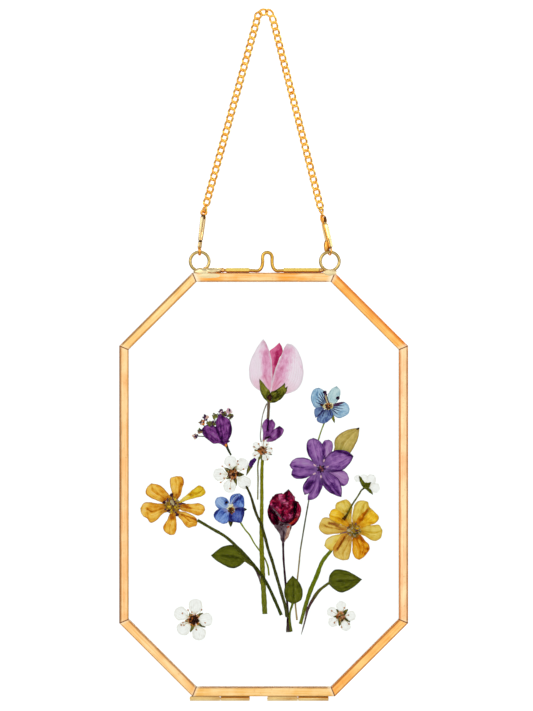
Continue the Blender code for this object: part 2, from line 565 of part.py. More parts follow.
eyes = {}
for side, (eye_pixel, turn) in CLASPS.items():
    eye = spot(eye_pixel)
    hook = np.array((RING_X[side] + FRAME_MID_X, SWING_Z + HOOK_LIFT))
    crown = hook + (0.0, HOOK_RADIUS)
    shares = np.array([share for share, _, _ in CLASP_SECTIONS])[:, None]
    spine = eye + (crown - eye) * shares
    rows = []
    for (x, z), (_, thick, broad) in zip(spine, CLASP_SECTIONS):
        for k in range(8):
            a = math.tau * (k + 0.5) / 8
            u, v = thick * math.cos(a) / math.cos(math.pi / 8), broad * math.sin(a) / math.cos(math.pi / 8)
            rows.append((x + u * math.cos(turn) - v * math.sin(turn), u * math.sin(turn) + v * math.cos(turn), z))
    body = solid(f"clasp_{side}", rows, bridge(len(spine), 8), PALE_GOLD)
    eye_ring = torus(f"eye_{side}", (eye[0], 0.0, eye[1]), EYE_RADIUS, EYE_WIRE, PALE_GOLD, count=14)
    hook_turn = turn + math.pi / 2
    hook_ring = torus(f"hook_{side}", (hook[0], 0.0, hook[1]), HOOK_RADIUS, HOOK_WIRE, PALE_GOLD,
                      turn=hook_turn, count=16)
    fuse(smooth(body), eye_ring, hook_ring)
    eyes[side] = eye


def strand(side):
    """The path and half widths of a straight run of links: wide over each link, narrow between two."""
    top = spot(STRAND_TOPS[side])
    along = (top - eyes[side]) / np.linalg.norm(top - eyes[side])
    start = eyes[side] + along * (EYE_RADIUS + EYE_WIRE + GAP)
    links = round(np.linalg.norm(top - start) / LINK_PITCH)
    shares = np.linspace(0, 1, 2 * links + 1)
    half = np.where(np.arange(2 * links + 1) % 2, CHAIN_WIDTH / 2, CHAIN_WAIST / 2)
    return start + (top - start) * shares[:, None], half


path, half = strand("left")
sweep("chain_left", path, half, CHAIN_THICK / 2, 0.0, CHAIN_GOLD)
path, half = strand("right")
path = np.vstack([path, spot(TOP_LINK)])
half = np.concatenate([half, np.full(len(TOP_LINK), CHAIN_THICK / 2)])
sweep("chain_right", path, half, CHAIN_THICK / 2, 0.0, CHAIN_GOLD)
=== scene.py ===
"""A hanging frame of pressed flowers: brass channel, glass, dried plants, a latch wire and a curb chain.

Metres, +Z up, the front towards -Y. The origin is the point inside the chain's top link where the frame
hangs. The frame hangs on its rings ("front_leaf"), its back opens on the bottom hinge ("back_leaf"), and
the chain with its clasps stays with the hook that it hangs on ("hanger").
"""

import math
from collections import namedtuple

import bmesh
import bpy
import numpy as np
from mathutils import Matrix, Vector


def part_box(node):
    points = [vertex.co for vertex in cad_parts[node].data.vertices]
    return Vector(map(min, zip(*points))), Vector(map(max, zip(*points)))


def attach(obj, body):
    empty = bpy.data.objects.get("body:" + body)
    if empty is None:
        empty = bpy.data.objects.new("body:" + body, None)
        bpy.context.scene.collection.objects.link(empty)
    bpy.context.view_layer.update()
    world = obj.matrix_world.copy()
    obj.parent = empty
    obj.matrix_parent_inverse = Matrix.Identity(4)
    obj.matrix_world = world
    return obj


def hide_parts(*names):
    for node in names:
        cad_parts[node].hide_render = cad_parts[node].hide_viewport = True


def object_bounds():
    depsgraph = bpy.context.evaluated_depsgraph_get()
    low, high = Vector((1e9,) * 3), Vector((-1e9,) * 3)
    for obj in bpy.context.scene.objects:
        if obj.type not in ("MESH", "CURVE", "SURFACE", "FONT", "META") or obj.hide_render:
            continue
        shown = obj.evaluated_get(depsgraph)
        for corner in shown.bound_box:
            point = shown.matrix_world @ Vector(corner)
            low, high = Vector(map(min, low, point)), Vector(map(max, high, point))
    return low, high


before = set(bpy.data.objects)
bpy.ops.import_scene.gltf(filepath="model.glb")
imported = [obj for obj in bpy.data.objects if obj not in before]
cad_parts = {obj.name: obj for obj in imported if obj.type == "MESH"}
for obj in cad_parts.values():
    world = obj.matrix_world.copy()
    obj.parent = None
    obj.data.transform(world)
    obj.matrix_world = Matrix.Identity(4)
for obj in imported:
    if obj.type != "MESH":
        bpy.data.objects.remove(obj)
cad_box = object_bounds()


# ---------------------------------------------------------------- the view
# The frame is looked at straight on through a long lens, in front of an even white wall of light. Three soft
# boxes give the metal its lights: left, right and behind. A pale disc lies well below as the floor.
PIXEL = 0.00052
ORIGIN_PIXEL = (265.7, 12.0)
PHOTO_PIXELS = (533, 711)
LENS = 200.0
SENSOR = 36.0
FLOOR_DROP = 0.235
FLOOR_RADIUS = 0.45
SKY_STRENGTH = 1.12


def spot(pixel):
    """Pixels of the photograph as places (x, z): a pixel is 0.52 mm, counted from the chain's top."""
    return (np.array(pixel, float) - ORIGIN_PIXEL) * (PIXEL, -PIXEL)


def node(tree, kind, wires=None, **settings):
    """Adds a shader node: settings are its own properties, wires its inputs, each a value or a socket."""
    made = tree.nodes.new("ShaderNode" + kind)
    for key, value in settings.items():
        setattr(made, key, value)
    for key, value in (wires or {}).items():
        if isinstance(value, bpy.types.NodeSocket):
            tree.links.new(value, made.inputs[key])
        else:
            made.inputs[key].default_value = value
    return made


def sums(tree, operation, first, second=0.0, third=None, clamped=False):
    """One sum on two or three numbers or sockets."""
    wires = {0: first, 1: second} if third is None else {0: first, 1: second, 2: third}
    return node(tree, "Math", wires, operation=operation, use_clamp=clamped).outputs[0]


def graded(tree, value, *stops):
    """A ramp through (place, grey or colour) stops."""
    made = node(tree, "ValToRGB", {0: value})
    ramp = made.color_ramp
    ramp.elements.remove(ramp.elements[1])
    for count, (place, colour) in enumerate(stops):
        stop = ramp.elements.new(place) if count else ramp.elements[0]
        stop.position = place
        stop.color = colour if np.ndim(colour) else (colour, colour, colour, 1.0)
    return made.outputs[0]


scene = bpy.context.scene
scene.view_settings.view_transform = "Standard"
eye_x, eye_z = spot((PHOTO_PIXELS[0] / 2, PHOTO_PIXELS[1] / 2))
camera = bpy.data.objects.new("camera", bpy.data.cameras.new("camera"))
scene.collection.objects.link(camera)
camera.data.lens = LENS
camera.data.sensor_width = SENSOR
camera.location = (eye_x, -PHOTO_PIXELS[1] * PIXEL * LENS / SENSOR, eye_z)
camera.rotation_euler = (math.pi / 2, 0.0, 0.0)
scene.camera = camera

# The world is white behind the frame, bright before it, and much darker to its sides, above and below.
scene.world = bpy.data.worlds.new("studio")
scene.world.use_nodes = True
sky = scene.world.node_tree
looking = node(sky, "SeparateXYZ", {0: node(sky, "TexCoord").outputs["Generated"]})
ahead = sums(sky, "MULTIPLY_ADD", looking.outputs[1], 0.5, 0.5)
glow = graded(sky, ahead, (0.0, 0.95), (0.05, 0.90), (0.20, 0.42), (0.42, 0.24), (0.58, 0.26), (0.82, 0.60),
              (0.97, 1.0))
overhead = sums(sky, "MULTIPLY", sums(sky, "MAXIMUM", looking.outputs[2], 0.0), 0.55)
lit = sums(sky, "MAXIMUM", glow, overhead)
sky.links.new(lit, sky.nodes["Background"].inputs["Color"])
sky.nodes["Background"].inputs["Strength"].default_value = SKY_STRENGTH


def softbox(name, place, size, power):
    """A soft lamp that looks at the middle of the frame, itself unseen by the eye and through the panes."""
    lamp = bpy.data.lights.new(name, "AREA")
    lamp.shape = "RECTANGLE"
    lamp.size, lamp.size_y = size
    lamp.energy = power
    box = bpy.data.objects.new(name, lamp)
    scene.collection.objects.link(box)
    box.location = place
    box.rotation_euler = (Vector((0.0, 0.0, eye_z)) - box.location).to_track_quat("-Z", "Y").to_euler()
    box.visible_camera = box.visible_transmission = False


softbox("softbox_left", (-0.9, -1.1, 0.35), (0.7, 0.9), 6.2)
softbox("softbox_right", (1.0, -0.8, 0.0), (0.35, 1.0), 3.4)
softbox("softbox_back", (0.2, 1.1, 0.3), (0.9, 0.7), 6.0)

Skin = namedtuple("Skin", "points faces uv tone", defaults=[0.5])


def quads(rows, loop, closed=False, capped=True):
    """Faces between neighbouring rows that each run round a loop; the two ends get a cap unless the rows
    close."""
    i, k = np.meshgrid(np.arange(rows if closed else rows - 1), np.arange(loop), indexing="ij")
    nxt, over = (i + 1) % rows, (k + 1) % loop
    faces = np.stack([i * loop + k, i * loop + over, nxt * loop + over, nxt * loop + k], axis=-1)
    faces = faces.reshape(-1, 4).tolist()
    if capped and not closed:
        faces += [list(range(loop))[::-1], [(rows - 1) * loop + k for k in range(loop)]]
    return faces


def make(name, skins, finishes, angle=0.7):
    """Joins (skin, finish number) pairs into one mesh with a UV map, the tone of each point and outward
    faces."""
    points = np.vstack([skin.points for skin, _ in skins])
    uv = np.vstack([skin.uv for skin, _ in skins])
    tone = np.concatenate([np.broadcast_to(skin.tone, len(skin.points)) for skin, _ in skins])
    starts = np.cumsum([0] + [len(skin.points) for skin, _ in skins])
    faces = [[start + k for k in face] for (skin, _), start in zip(skins, starts) for face in skin.faces]
    worn = [number for skin, number in skins for _ in skin.faces]
    mesh = bpy.data.meshes.new(name)
    mesh.from_pydata(points.tolist(), [], faces)
    hull = bmesh.new()
    hull.from_mesh(mesh)
    bmesh.ops.recalc_face_normals(hull, faces=hull.faces)
    hull.to_mesh(mesh)
    hull.free()
    corner = np.zeros(len(mesh.loops), int)
    mesh.loops.foreach_get("vertex_index", corner)
    mesh.uv_layers.new(name="UVMap").data.foreach_set("uv", uv[corner].ravel())
    mesh.attributes.new("tone", "FLOAT", "POINT").data.foreach_set("value", tone)
    for finish in finishes:
        mesh.materials.append(finish)
    mesh.polygons.foreach_set("material_index", worn)
    mesh.shade_smooth()
    mesh.set_sharp_from_angle(angle=angle)
    piece = bpy.data.objects.new(name, mesh)
    scene.collection.objects.link(piece)
    return piece


def disc(radius, z, count=96):
    """A thin round plate: a top ring, a bottom ring and two caps."""
    turn = np.arange(count) * math.tau / count
    rim = np.stack([radius * np.cos(turn), radius * np.sin(turn)], axis=1)
    points = np.vstack([np.column_stack([rim, np.full(count, level)]) for level in (z, z - 0.01)])
    return Skin(points, quads(2, count), points[:, :2])


pale = bpy.data.materials.new("pale floor")
pale.use_nodes = True
pale.node_tree.nodes["Principled BSDF"].inputs["Base Color"].default_value = (0.86, 0.86, 0.85, 1.0)
pale.node_tree.nodes["Principled BSDF"].inputs["Roughness"].default_value = 0.85
make("floor", [(disc(FLOOR_RADIUS, cad_box[0][2] - FLOOR_DROP), 0)], [pale])


# ---------------------------------------------------------------- brass channel bars
# Each leaf's rim is eight cut lengths of brass channel, mitred and soldered at the corners. The strip was
# folded and drawn: its face is slightly crowned, its edges are rolled and carry dark lines of painted shade,
# and it wavers.
FRAME_WIDTH = 0.150
FRAME_HEIGHT = 0.220
CORNER_CUT = 0.038
BAR_FACE = 0.0047
LEAF_DEPTH = 0.0036
LIP = 0.0004
GROOVE_FLOOR = 0.0023
GROOVE_BACK = 0.0008
GAP = 0.0003
CROWN = 0.00009
WAVER = 0.00003
SIDES = ("top", "top_right", "right", "bottom_right", "bottom", "bottom_left", "left", "top_left")
front_low, front_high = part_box("front_bar_top")
FRAME_TOP = front_high.z
FRAME_MID = np.array((0.5 * (front_low.x + front_high.x), FRAME_TOP - FRAME_HEIGHT / 2))
MITRE_REACH = 0.004
# Each bar's light and deep gold, the colour and share of the face of the painted shade line along its outer
# edge, the same for its inner edge, and how much solder shows at its mitres
BAR_LOOKS = {
    "top": ((255, 218, 156), (255, 168, 66), (188, 100, 36), 0.06, (192, 134, 76), 0.12, 1.0),
    "top_right": ((255, 200, 116), (248, 156, 54), (226, 122, 38), 0.26, (214, 136, 56), 0.04, 0.5),
    "right": ((255, 230, 178), (252, 198, 144), (164, 94, 18), 0.17, (208, 116, 40), 0.16, 0.2),
    "bottom_right": ((255, 212, 134), (250, 170, 78), (196, 108, 24), 0.10, (164, 82, 22), 0.14, 0.1),
    "bottom": ((255, 220, 158), (244, 188, 102), (222, 156, 70), 0.05, (150, 92, 58), 0.07, 0.8),
    "bottom_left": ((255, 222, 164), (246, 184, 104), (206, 132, 52), 0.06, (176, 104, 42), 0.12, 0.5),
    "left": ((255, 220, 162), (248, 188, 122), (134, 74, 14), 0.22, (206, 140, 62), 0.09, 0.1),
    "top_left": ((255, 224, 158), (246, 192, 112), (112, 54, 8), 0.20, (206, 128, 38), 0.12, 0.3)}


def srgb(red, green, blue):
    """An eight-bit colour as the linear values that a shader takes."""
    share = np.array((red, green, blue)) / 255.0
    return (*np.where(share <= 0.04045, share / 12.92, ((share + 0.055) / 1.055) ** 2.4).tolist(), 1.0)


def mixed(tree, share, first, second):
    """Two colours mixed by a share."""
    return node(tree, "Mix", {0: share, 6: first, 7: second}, data_type="RGBA").outputs[2]


def speckle(tree, vector, scale, stretch=(1.0, 1.0, 1.0), detail=3.0):
    """Noise from 0 to 1, drawn out along the axes where the stretch is small."""
    spread = node(tree, "Mapping", {"Vector": vector, "Scale": stretch})
    return node(tree, "TexNoise", {"Vector": spread.outputs[0], "Scale": scale, "Detail": detail}).outputs[0]


def blank(name, roughness, metallic=0.0):
    """A new material: itself, its node tree, its shader, and its coordinates."""
    made = bpy.data.materials.new(name)
    made.use_nodes = True
    shader = made.node_tree.nodes["Principled BSDF"]
    shader.inputs["Roughness"].default_value = roughness
    shader.inputs["Metallic"].default_value = metallic
    return made, made.node_tree, shader, node(made.node_tree, "TexCoord")


def bump(tree, shader, height, strength, distance):
    """Raises the surface's light by a height."""
    made = node(tree, "Bump", {"Strength": strength, "Distance": distance, "Height": height})
    tree.links.new(made.outputs[0], shader.inputs["Normal"])


def swung(tree, value, middle, gain):
    """How far a value is from its middle, times a gain."""
    return sums(tree, "MULTIPLY", sums(tree, "SUBTRACT", value, middle), gain)


def strip_brass(name, light, deep, outer, outer_shade_wide, inner, inner_shade_wide, soldered):
    """Drawn brass: two golds in patches and in long bands along the bar, and a dark line of painted shade
    down each rolled edge.

    Across the bar, 0 is the face's outer edge and 1 its inner one. The tone is the distance from the nearest
    mitre, with a broken brown seam at the mitre itself and pale solder near it.
    """
    made, tree, shader, at = blank(name, 0.3, 1.0)
    place = node(tree, "SeparateXYZ", {0: at.outputs["UV"]})
    patch = graded(tree, speckle(tree, at.outputs["Object"], 85.0, detail=2.0), (0.42, 0.0), (0.64, 0.6))
    bands = speckle(tree, at.outputs["UV"], 9.0, (0.05, 1.1, 1.0), 2.0)
    streak = speckle(tree, at.outputs["UV"], 9.0, (0.30, 4.0, 1.0), 4.0)
    warm = sums(tree, "ADD", patch, graded(tree, bands, (0.42, 0.0), (0.60, 0.6)))
    warm = sums(tree, "ADD", warm, swung(tree, streak, 0.5, 0.5), clamped=True)
    colour = mixed(tree, warm, srgb(*light), srgb(*deep))
    worn = graded(tree, speckle(tree, at.outputs["Object"], 900.0, detail=5.0), (0.60, 0.0), (0.76, 0.5))
    colour = mixed(tree, worn, colour, srgb(214, 146, 84))
    wander = swung(tree, sums(tree, "ADD", streak, bands), 1.0, 0.12)
    edge = sums(tree, "ADD", sums(tree, "ADD", sums(tree, "MULTIPLY", place.outputs[1], 0.8), 0.1), wander)
    # Painted shade: dark lines down the outer and inner rolled edges, where they would reflect the dark
    # surroundings
    line = graded(tree, edge, (0.0, 0.6), (0.09, 0.9), (0.10 + 0.8 * outer_shade_wide, 0.7),
                  (0.15 + 0.8 * outer_shade_wide, 0.0))
    colour = mixed(tree, line, colour, srgb(*outer))
    line = graded(tree, edge, (0.85 - 0.8 * inner_shade_wide, 0.0), (0.90 - 0.8 * inner_shade_wide, 0.7), (0.91, 0.9),
                  (1.0, 0.6))
    colour = mixed(tree, line, colour, srgb(*inner))
    tone = node(tree, "Attribute", attribute_name="tone").outputs["Fac"]
    ragged = sums(tree, "ADD", tone, swung(tree, patch, 0.3, 0.4))
    pale = graded(tree, ragged, (0.10, soldered), (0.30 + 0.4 * soldered, 0.0))
    colour = mixed(tree, pale, colour, srgb(252, 232, 196))
    broken = sums(tree, "ADD", tone, swung(tree, streak, 0.5, 0.12))
    colour = mixed(tree, graded(tree, broken, (0.04, 0.95), (0.09, 0.0)), colour, srgb(128, 66, 28))
    tree.links.new(colour, shader.inputs["Base Color"])
    tree.links.new(sums(tree, "MULTIPLY_ADD", streak, 0.30, 0.16), shader.inputs["Roughness"])
    bump(tree, shader, sums(tree, "ADD", streak, worn), 0.30, 0.00005)
    return made


def octagon(inset):
    """The rim's eight corners, clockwise from the top left, moved in by the inset."""
    side = inset * math.tan(math.pi / 8)
    wide, tall = FRAME_WIDTH / 2 - inset, FRAME_HEIGHT / 2 - inset
    short_x, short_z = FRAME_WIDTH / 2 - CORNER_CUT - side, FRAME_HEIGHT / 2 - CORNER_CUT - side
    corners = [(-short_x, tall), (short_x, tall), (wide, short_z), (wide, -short_z),
               (short_x, -tall), (-short_x, -tall), (-wide, -short_z), (-wide, short_z)]
    return np.array(corners) + FRAME_MID


def rounded(corners, steps=4, longest=0.0005):
    """A closed outline from (x, y, radius) corners: each turns on a quadratic curve, and long runs are
    divided."""
    spots = np.array(corners)[:, :2]
    radii = np.array(corners)[:, 2]
    t = np.linspace(0, 1, steps + 1)[:, None]
    line = []
    for here, before, after, radius in zip(spots, np.roll(spots, 1, 0), np.roll(spots, -1, 0), radii):
        start = here + radius * (before - here) / np.linalg.norm(before - here)
        end = here + radius * (after - here) / np.linalg.norm(after - here)
        line.append((1 - t) ** 2 * start + 2 * t * (1 - t) * here + t ** 2 * end)
    line = np.vstack(line)
    fine = []
    for a, b in zip(line, np.roll(line, -1, 0)):
        count = max(1, math.ceil(np.linalg.norm(b - a) / longest))
        fine.append(a + (b - a) * np.linspace(0, 1, count, endpoint=False)[:, None])
    return np.vstack(fine)


def woven(*parts):
    """Grids of numbers, spread to one shape and put side by side as the parts of points."""
    return np.stack(np.broadcast_arrays(*parts), axis=-1)


def channel_bar(number, facing):
    """One mitred bar: the channel's section, carried from mitre to mitre.

    A section point at some inset runs between the corners of the octagon at that inset. The face is crowned
    by a half sine across it, and the strip wavers in depth by a sum of two slow sines along it.
    """
    section = rounded([
        (0.0, 0.0, 0.0003), (0.0, LEAF_DEPTH, 0.0006), (BAR_FACE, LEAF_DEPTH, 0.00016),
        (BAR_FACE, LEAF_DEPTH - LIP, 0.00016), (GROOVE_FLOOR, LEAF_DEPTH - LIP, 0.0001),
        (GROOVE_FLOOR, GROOVE_BACK, 0.0001), (BAR_FACE, GROOVE_BACK, 0.0002), (BAR_FACE, 0.0, 0.0002)])
    inset, depth = section.T
    trim = GAP / 8
    ends = np.array([octagon(s)[[number, (number + 1) % 8]] for s in inset])
    a, b = ends[:, 0], ends[:, 1]
    along = (b - a) / np.linalg.norm(b - a, axis=1)[:, None]
    a, b = a + trim * along, b - trim * along
    length = np.linalg.norm(b[0] - a[0])
    near = np.array((0.0, 0.0001, 0.0002, 0.0003, 0.0005, 0.001, 0.002))
    middle = np.linspace(MITRE_REACH, length - MITRE_REACH, int(length / 0.002))
    run = np.concatenate([near, middle, length - near[::-1]])[:, None]
    rows = len(run)
    plane = a + (b - a) * (run / length)[..., None]
    lift = CROWN * np.sin(np.pi * np.clip(inset / BAR_FACE, 0, 1)) * (depth > LEAF_DEPTH - LIP / 2)
    waver = WAVER * (np.sin(run * 210 + number * 2.1) + np.sin(run * 523 + number)) * (depth > GROOVE_BACK)
    y = facing * (GAP / 2 + depth + lift + waver)
    points = np.stack([plane[..., 0], y, plane[..., 1]], axis=-1)
    turned_down = np.where(inset < BAR_FACE / 2, -1, 1) * (LEAF_DEPTH - depth)
    uv = woven(run / 0.01 + 23 * number, (inset + turned_down) / BAR_FACE)
    tone = np.clip(np.minimum(run, length - run) / MITRE_REACH, 0, 1) + 0 * inset
    return Skin(points.reshape(-1, 3), quads(rows, len(section)), uv.reshape(-1, 2), tone.ravel())


for number, side in enumerate(SIDES):
    finish = strip_brass(f"drawn brass {side}", *BAR_LOOKS[side])
    for leaf, facing in (("front", -1), ("back", 1)):
        bar = make(f"{leaf}_channel_{side}", [(channel_bar(number, facing), 0)], [finish])
        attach(bar, f"{leaf}_leaf")
        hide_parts(f"{leaf}_bar_{side}")


# ---------------------------------------------------------------- glass panes
# Each leaf is glazed with one clear pane of soda glass, cut to the octagon, whose edge stands in the groove.
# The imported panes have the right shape, so they stay and get a glass that lets lamps through.
GLASS_INDEX = 1.12
GLASS_GLOSS = 0.1
GLASS_TINT = (0.97, 0.98, 0.975, 1.0)
CLEAR_SHARE = 0.8
pane_glass, tree, shader, at = blank("clear window glass", 0.0)
shader.inputs["Transmission Weight"].default_value = 1.0
shader.inputs["IOR"].default_value = GLASS_INDEX
shader.inputs["Specular IOR Level"].default_value = GLASS_GLOSS
smudge = graded(tree, speckle(tree, at.outputs["Object"], 24.0, detail=4.0), (0.5, 0.0), (0.8, 0.02))
tree.links.new(smudge, shader.inputs["Roughness"])
tint = mixed(tree, smudge, (0.995, 1.0, 0.998, 1.0), GLASS_TINT)
tree.links.new(tint, shader.inputs["Base Color"])
through = node(tree, "BsdfTransparent", {0: GLASS_TINT})
light_path = node(tree, "LightPath")
lamp_ray = sums(tree, "MAXIMUM", light_path.outputs["Is Shadow Ray"], light_path.outputs["Is Diffuse Ray"])
clear = sums(tree, "MAXIMUM", lamp_ray, CLEAR_SHARE)
panes = node(tree, "MixShader", {0: clear, 1: shader.outputs[0], 2: through.outputs[0]})
tree.links.new(panes.outputs[0], tree.nodes["Material Output"].inputs["Surface"])
for leaf in ("front", "back"):
    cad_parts[f"{leaf}_glass"].data.materials.clear()
    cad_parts[f"{leaf}_glass"].data.materials.append(pane_glass)


# ---------------------------------------------------------------- latch wire and its tubes
# A sprung brass wire runs through two guide tubes soldered to the back leaf and ends in two keeper tubes on
# the front leaf. Pinching its loop draws both ends out. The tubes are rolled sheet with a seam underneath.
TUBE_RADIUS = 0.00122
TUBE_BORE = 0.00092
LATCH_Z = FRAME_TOP + 0.00006 + TUBE_RADIUS
WIRE_RADIUS = 0.00087
LATCH_ENDS = (-0.0220, 0.0203)
LOOP_MID_X = 0.0019
LOOP_WIDTH = 0.0049
LOOP_HEIGHT = 0.0102
FOOT_REACH = 0.0037
FOOT_CURVE = [(1.0, -0.026), (0.75, -0.032), (0.5, 0.004), (0.25, 0.10), (0.07, 0.25), (0.0, 0.45)]


def plain_metal(name, bright, dark, roughness=0.28, grain=(30.0, 30.0, 30.0), shade_colour=None, shaded_bands=(),
                metallic=1.0):
    """Metal in two eight-bit colours, cloudy between them, with a fine drawn grain in its roughness and its
    light. Bands of painted shade in another colour run along it, each from one share of its turn to another."""
    made, tree, shader, at = blank(name, roughness, metallic)
    cloud = graded(tree, speckle(tree, at.outputs["Object"], 10.0, grain, 4.0), (0.40, 0.0), (0.66, 1.0))
    fine = speckle(tree, at.outputs["Object"], 2600.0, detail=2.0)
    colour = mixed(tree, cloud, srgb(*bright), srgb(*dark))
    if shaded_bands:
        turn = node(tree, "SeparateXYZ", {0: at.outputs["UV"]}).outputs[1]
        stops = [stop for a, b in shaded_bands for stop in ((a - 0.03, 0.0), (a, 0.9), (b, 0.9), (b + 0.03, 0.0))]
        colour = mixed(tree, graded(tree, turn, *stops), colour, srgb(*shade_colour))
    tree.links.new(colour, shader.inputs["Base Color"])
    tree.links.new(sums(tree, "MULTIPLY_ADD", fine, 0.24, roughness - 0.10), shader.inputs["Roughness"])
    bump(tree, shader, fine, 0.05, 0.00002)
    return made


def curve(points, count):
    """A smooth curve through the points, sampled evenly by length: a cubic between each two, whose slope at a
    point is the mean of the slopes on both sides, each weighted by the other's length."""
    p = np.array(points, float)
    h = np.linalg.norm(np.diff(p, axis=0), axis=1)[:, None]
    slope = np.diff(p, axis=0) / h
    inner = (slope[:-1] * h[1:] + slope[1:] * h[:-1]) / (h[:-1] + h[1:])
    tangent = np.vstack([slope[:1], inner, slope[-1:]])
    t = np.linspace(0, len(p) - 1, 24 * len(p))
    i = np.minimum(t.astype(int), len(p) - 2)
    f = (t - i)[:, None]
    fine = ((1 + 2 * f) * (1 - f) ** 2 * p[i] + f * (1 - f) ** 2 * h[i] * tangent[i]
            + f ** 2 * (3 - 2 * f) * p[i + 1] + f ** 2 * (f - 1) * h[i] * tangent[i + 1])
    run = np.concatenate([[0], np.cumsum(np.linalg.norm(np.diff(fine, axis=0), axis=1))])
    even = np.linspace(0, run[-1], count)
    return np.stack([np.interp(even, run, fine[:, k]) for k in range(p.shape[1])], axis=1)


def tube(path, radius, sides=16, axis=(0.0, 1.0, 0.0), closed=False, squash=1.0):
    """A round wire along a path in space: rings in the plane across the path, turned by an axis that the path
    never follows. An open wire ends in domes: three more rings, each smaller by a cosine."""
    path = np.array(path, float)
    radius = np.broadcast_to(radius, len(path)).astype(float)
    if closed:
        run = np.roll(path, -1, 0) - np.roll(path, 1, 0)
    else:
        dome = np.array((1.0, 0.8, 0.5))[:, None]
        start, end = path[0] - path[1], path[-1] - path[-2]
        start, end = start / np.linalg.norm(start), end / np.linalg.norm(end)
        small = np.sqrt(1 - (dome[:, 0] * 0.97) ** 2)
        path = np.vstack([path[0] + start * radius[0] * 0.6 * dome, path,
                          path[-1] + end * radius[-1] * 0.6 * dome[::-1]])
        radius = np.concatenate([radius[0] * small, radius, radius[-1] * small[::-1]])
        run = np.gradient(path, axis=0)
    run /= np.linalg.norm(run, axis=1)[:, None]
    side = np.cross(run, axis)
    side /= np.linalg.norm(side, axis=1)[:, None]
    up = np.cross(side, run)
    turn = np.arange(sides) * math.tau / sides
    ring = side[:, None] * np.cos(turn)[:, None] + squash * up[:, None] * np.sin(turn)[:, None]
    points = path[:, None] + ring * radius[:, None, None]
    length = np.concatenate([[0], np.cumsum(np.linalg.norm(np.diff(path, axis=0), axis=1))]) / 0.01
    uv = woven(length[:, None], turn / math.tau)
    return Skin(points.reshape(-1, 3), quads(len(path), sides, closed), uv.reshape(-1, 2))


def turned(profile, z, sides=40):
    """A ring-shaped skin round a line along X: a closed outline of (x, radius), turned once round."""
    x, radius = np.array(profile).T
    turn = np.arange(sides) * math.tau / sides
    seam = 1 - 0.03 * np.exp(-((turn - 1.5 * math.pi) / 0.12) ** 2)
    radius = radius[:, None] * seam
    points = woven(x[:, None], radius * np.cos(turn), z + radius * np.sin(turn))
    uv = woven(x[:, None] / 0.01, turn / math.tau)
    return Skin(points.reshape(-1, 3), quads(len(x), sides, closed=True), uv.reshape(-1, 2))


def sleeve(span, outer, bore, z):
    """A short tube with rounded lips."""
    lip = (outer - bore) * 0.45
    low, high = span
    corners = [(low, outer, lip), (high, outer, lip), (high, bore, lip), (low, bore, lip)]
    return turned(rounded(corners, longest=0.0012), z)


# Painted shade: an orange-brown band along the underside of each tube
tube_brass = plain_metal("olive tube brass", (255, 234, 128), (246, 208, 88), 0.26, (3.0, 40.0, 40.0),
    shade_colour=(214, 128, 40), shaded_bands=[(0.60, 0.90)], metallic=0.6)
wire_brass = plain_metal("latch wire brass", (224, 182, 84), (192, 144, 52), 0.24, (12.0, 12.0, 12.0))
for side in ("left", "right"):
    for kind, leaf in (("guide", "back"), ("keeper", "front")):
        low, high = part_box(f"{kind}_tube_{side}")
        span = (low.x - GAP / 2, high.x + GAP / 2)
        rolled = sleeve(span, TUBE_RADIUS, TUBE_BORE, LATCH_Z)
        piece = make(f"{kind}_sleeve_{side}", [(rolled, 0)], [tube_brass])
        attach(piece, f"{leaf}_leaf")
        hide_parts(f"{kind}_tube_{side}")


def latch_route():
    """Straight out of one tube, up over a round arch and down into the other: the feet are measured by
    share."""
    half = LOOP_WIDTH / 2
    crown = LOOP_HEIGHT - WIRE_RADIUS - half
    foot = [(-half - FOOT_REACH * out, crown * up * 1.35) for out, up in FOOT_CURVE]
    arch = [(-half * math.cos(t), crown + half * math.sin(t)) for t in np.linspace(0, math.pi, 9)]
    whole = [(LATCH_ENDS[0] + WIRE_RADIUS - LOOP_MID_X, 0.0), *foot, *arch, *[(-x, z) for x, z in foot[::-1]]]
    whole.append((LATCH_ENDS[1] - WIRE_RADIUS - LOOP_MID_X, 0.0))
    flat = curve(np.array(whole) + (FRAME_MID[0] + LOOP_MID_X, LATCH_Z), 150)
    return np.column_stack([flat[:, 0], np.zeros(len(flat)), flat[:, 1]])


latch = make("sprung_latch", [(tube(latch_route(), WIRE_RADIUS, 20), 0)], [wire_brass])
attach(latch, "back_leaf")
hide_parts("latch_wire")


# ---------------------------------------------------------------- hanging rings and their solder
# Two rings of pale brass wire stand on the top corners. Each is held by a pool of soft solder that has run
# down over the face of the bar; the left pool is long and smeared, the right one is a blob over the mitre.
RING_X = {"left": -0.0333, "right": 0.0344}
RING_RADIUS = 0.0049
RING_WIRE = 0.0008
RING_Z = FRAME_TOP + 0.8 * GAP + RING_RADIUS + RING_WIRE
# Pools as (1 for pale or 2 for golden solder, offset from the ring in x, y, height over the bar's top, half
# sizes), in millimetres: the feet inside the rings are golden, and the pale smears lie on the bars' faces
POOLS = {
    "left": [(1, 1.4, -2.15, 0.45, 4.4, 2.0, 2.1), (1, 6.3, -2.1, 0.95, 4.8, 1.9, 1.6),
             (1, 5.0, -3.80, -1.6, 6.5, 0.14, 1.3), (2, 11.6, -0.2, 1.35, 1.6, 1.25, 1.2),
             (2, 3.3, -1.2, 2.3, 1.5, 1.2, 0.8)],
    "right": [(2, 0.0, -1.9, 0.75, 3.4, 1.6, 0.72), (1, 0.1, -3.80, 0.0, 3.5, 0.45, 1.5),
              (2, -4.6, -0.6, 1.2, 1.5, 1.2, 1.05)]}


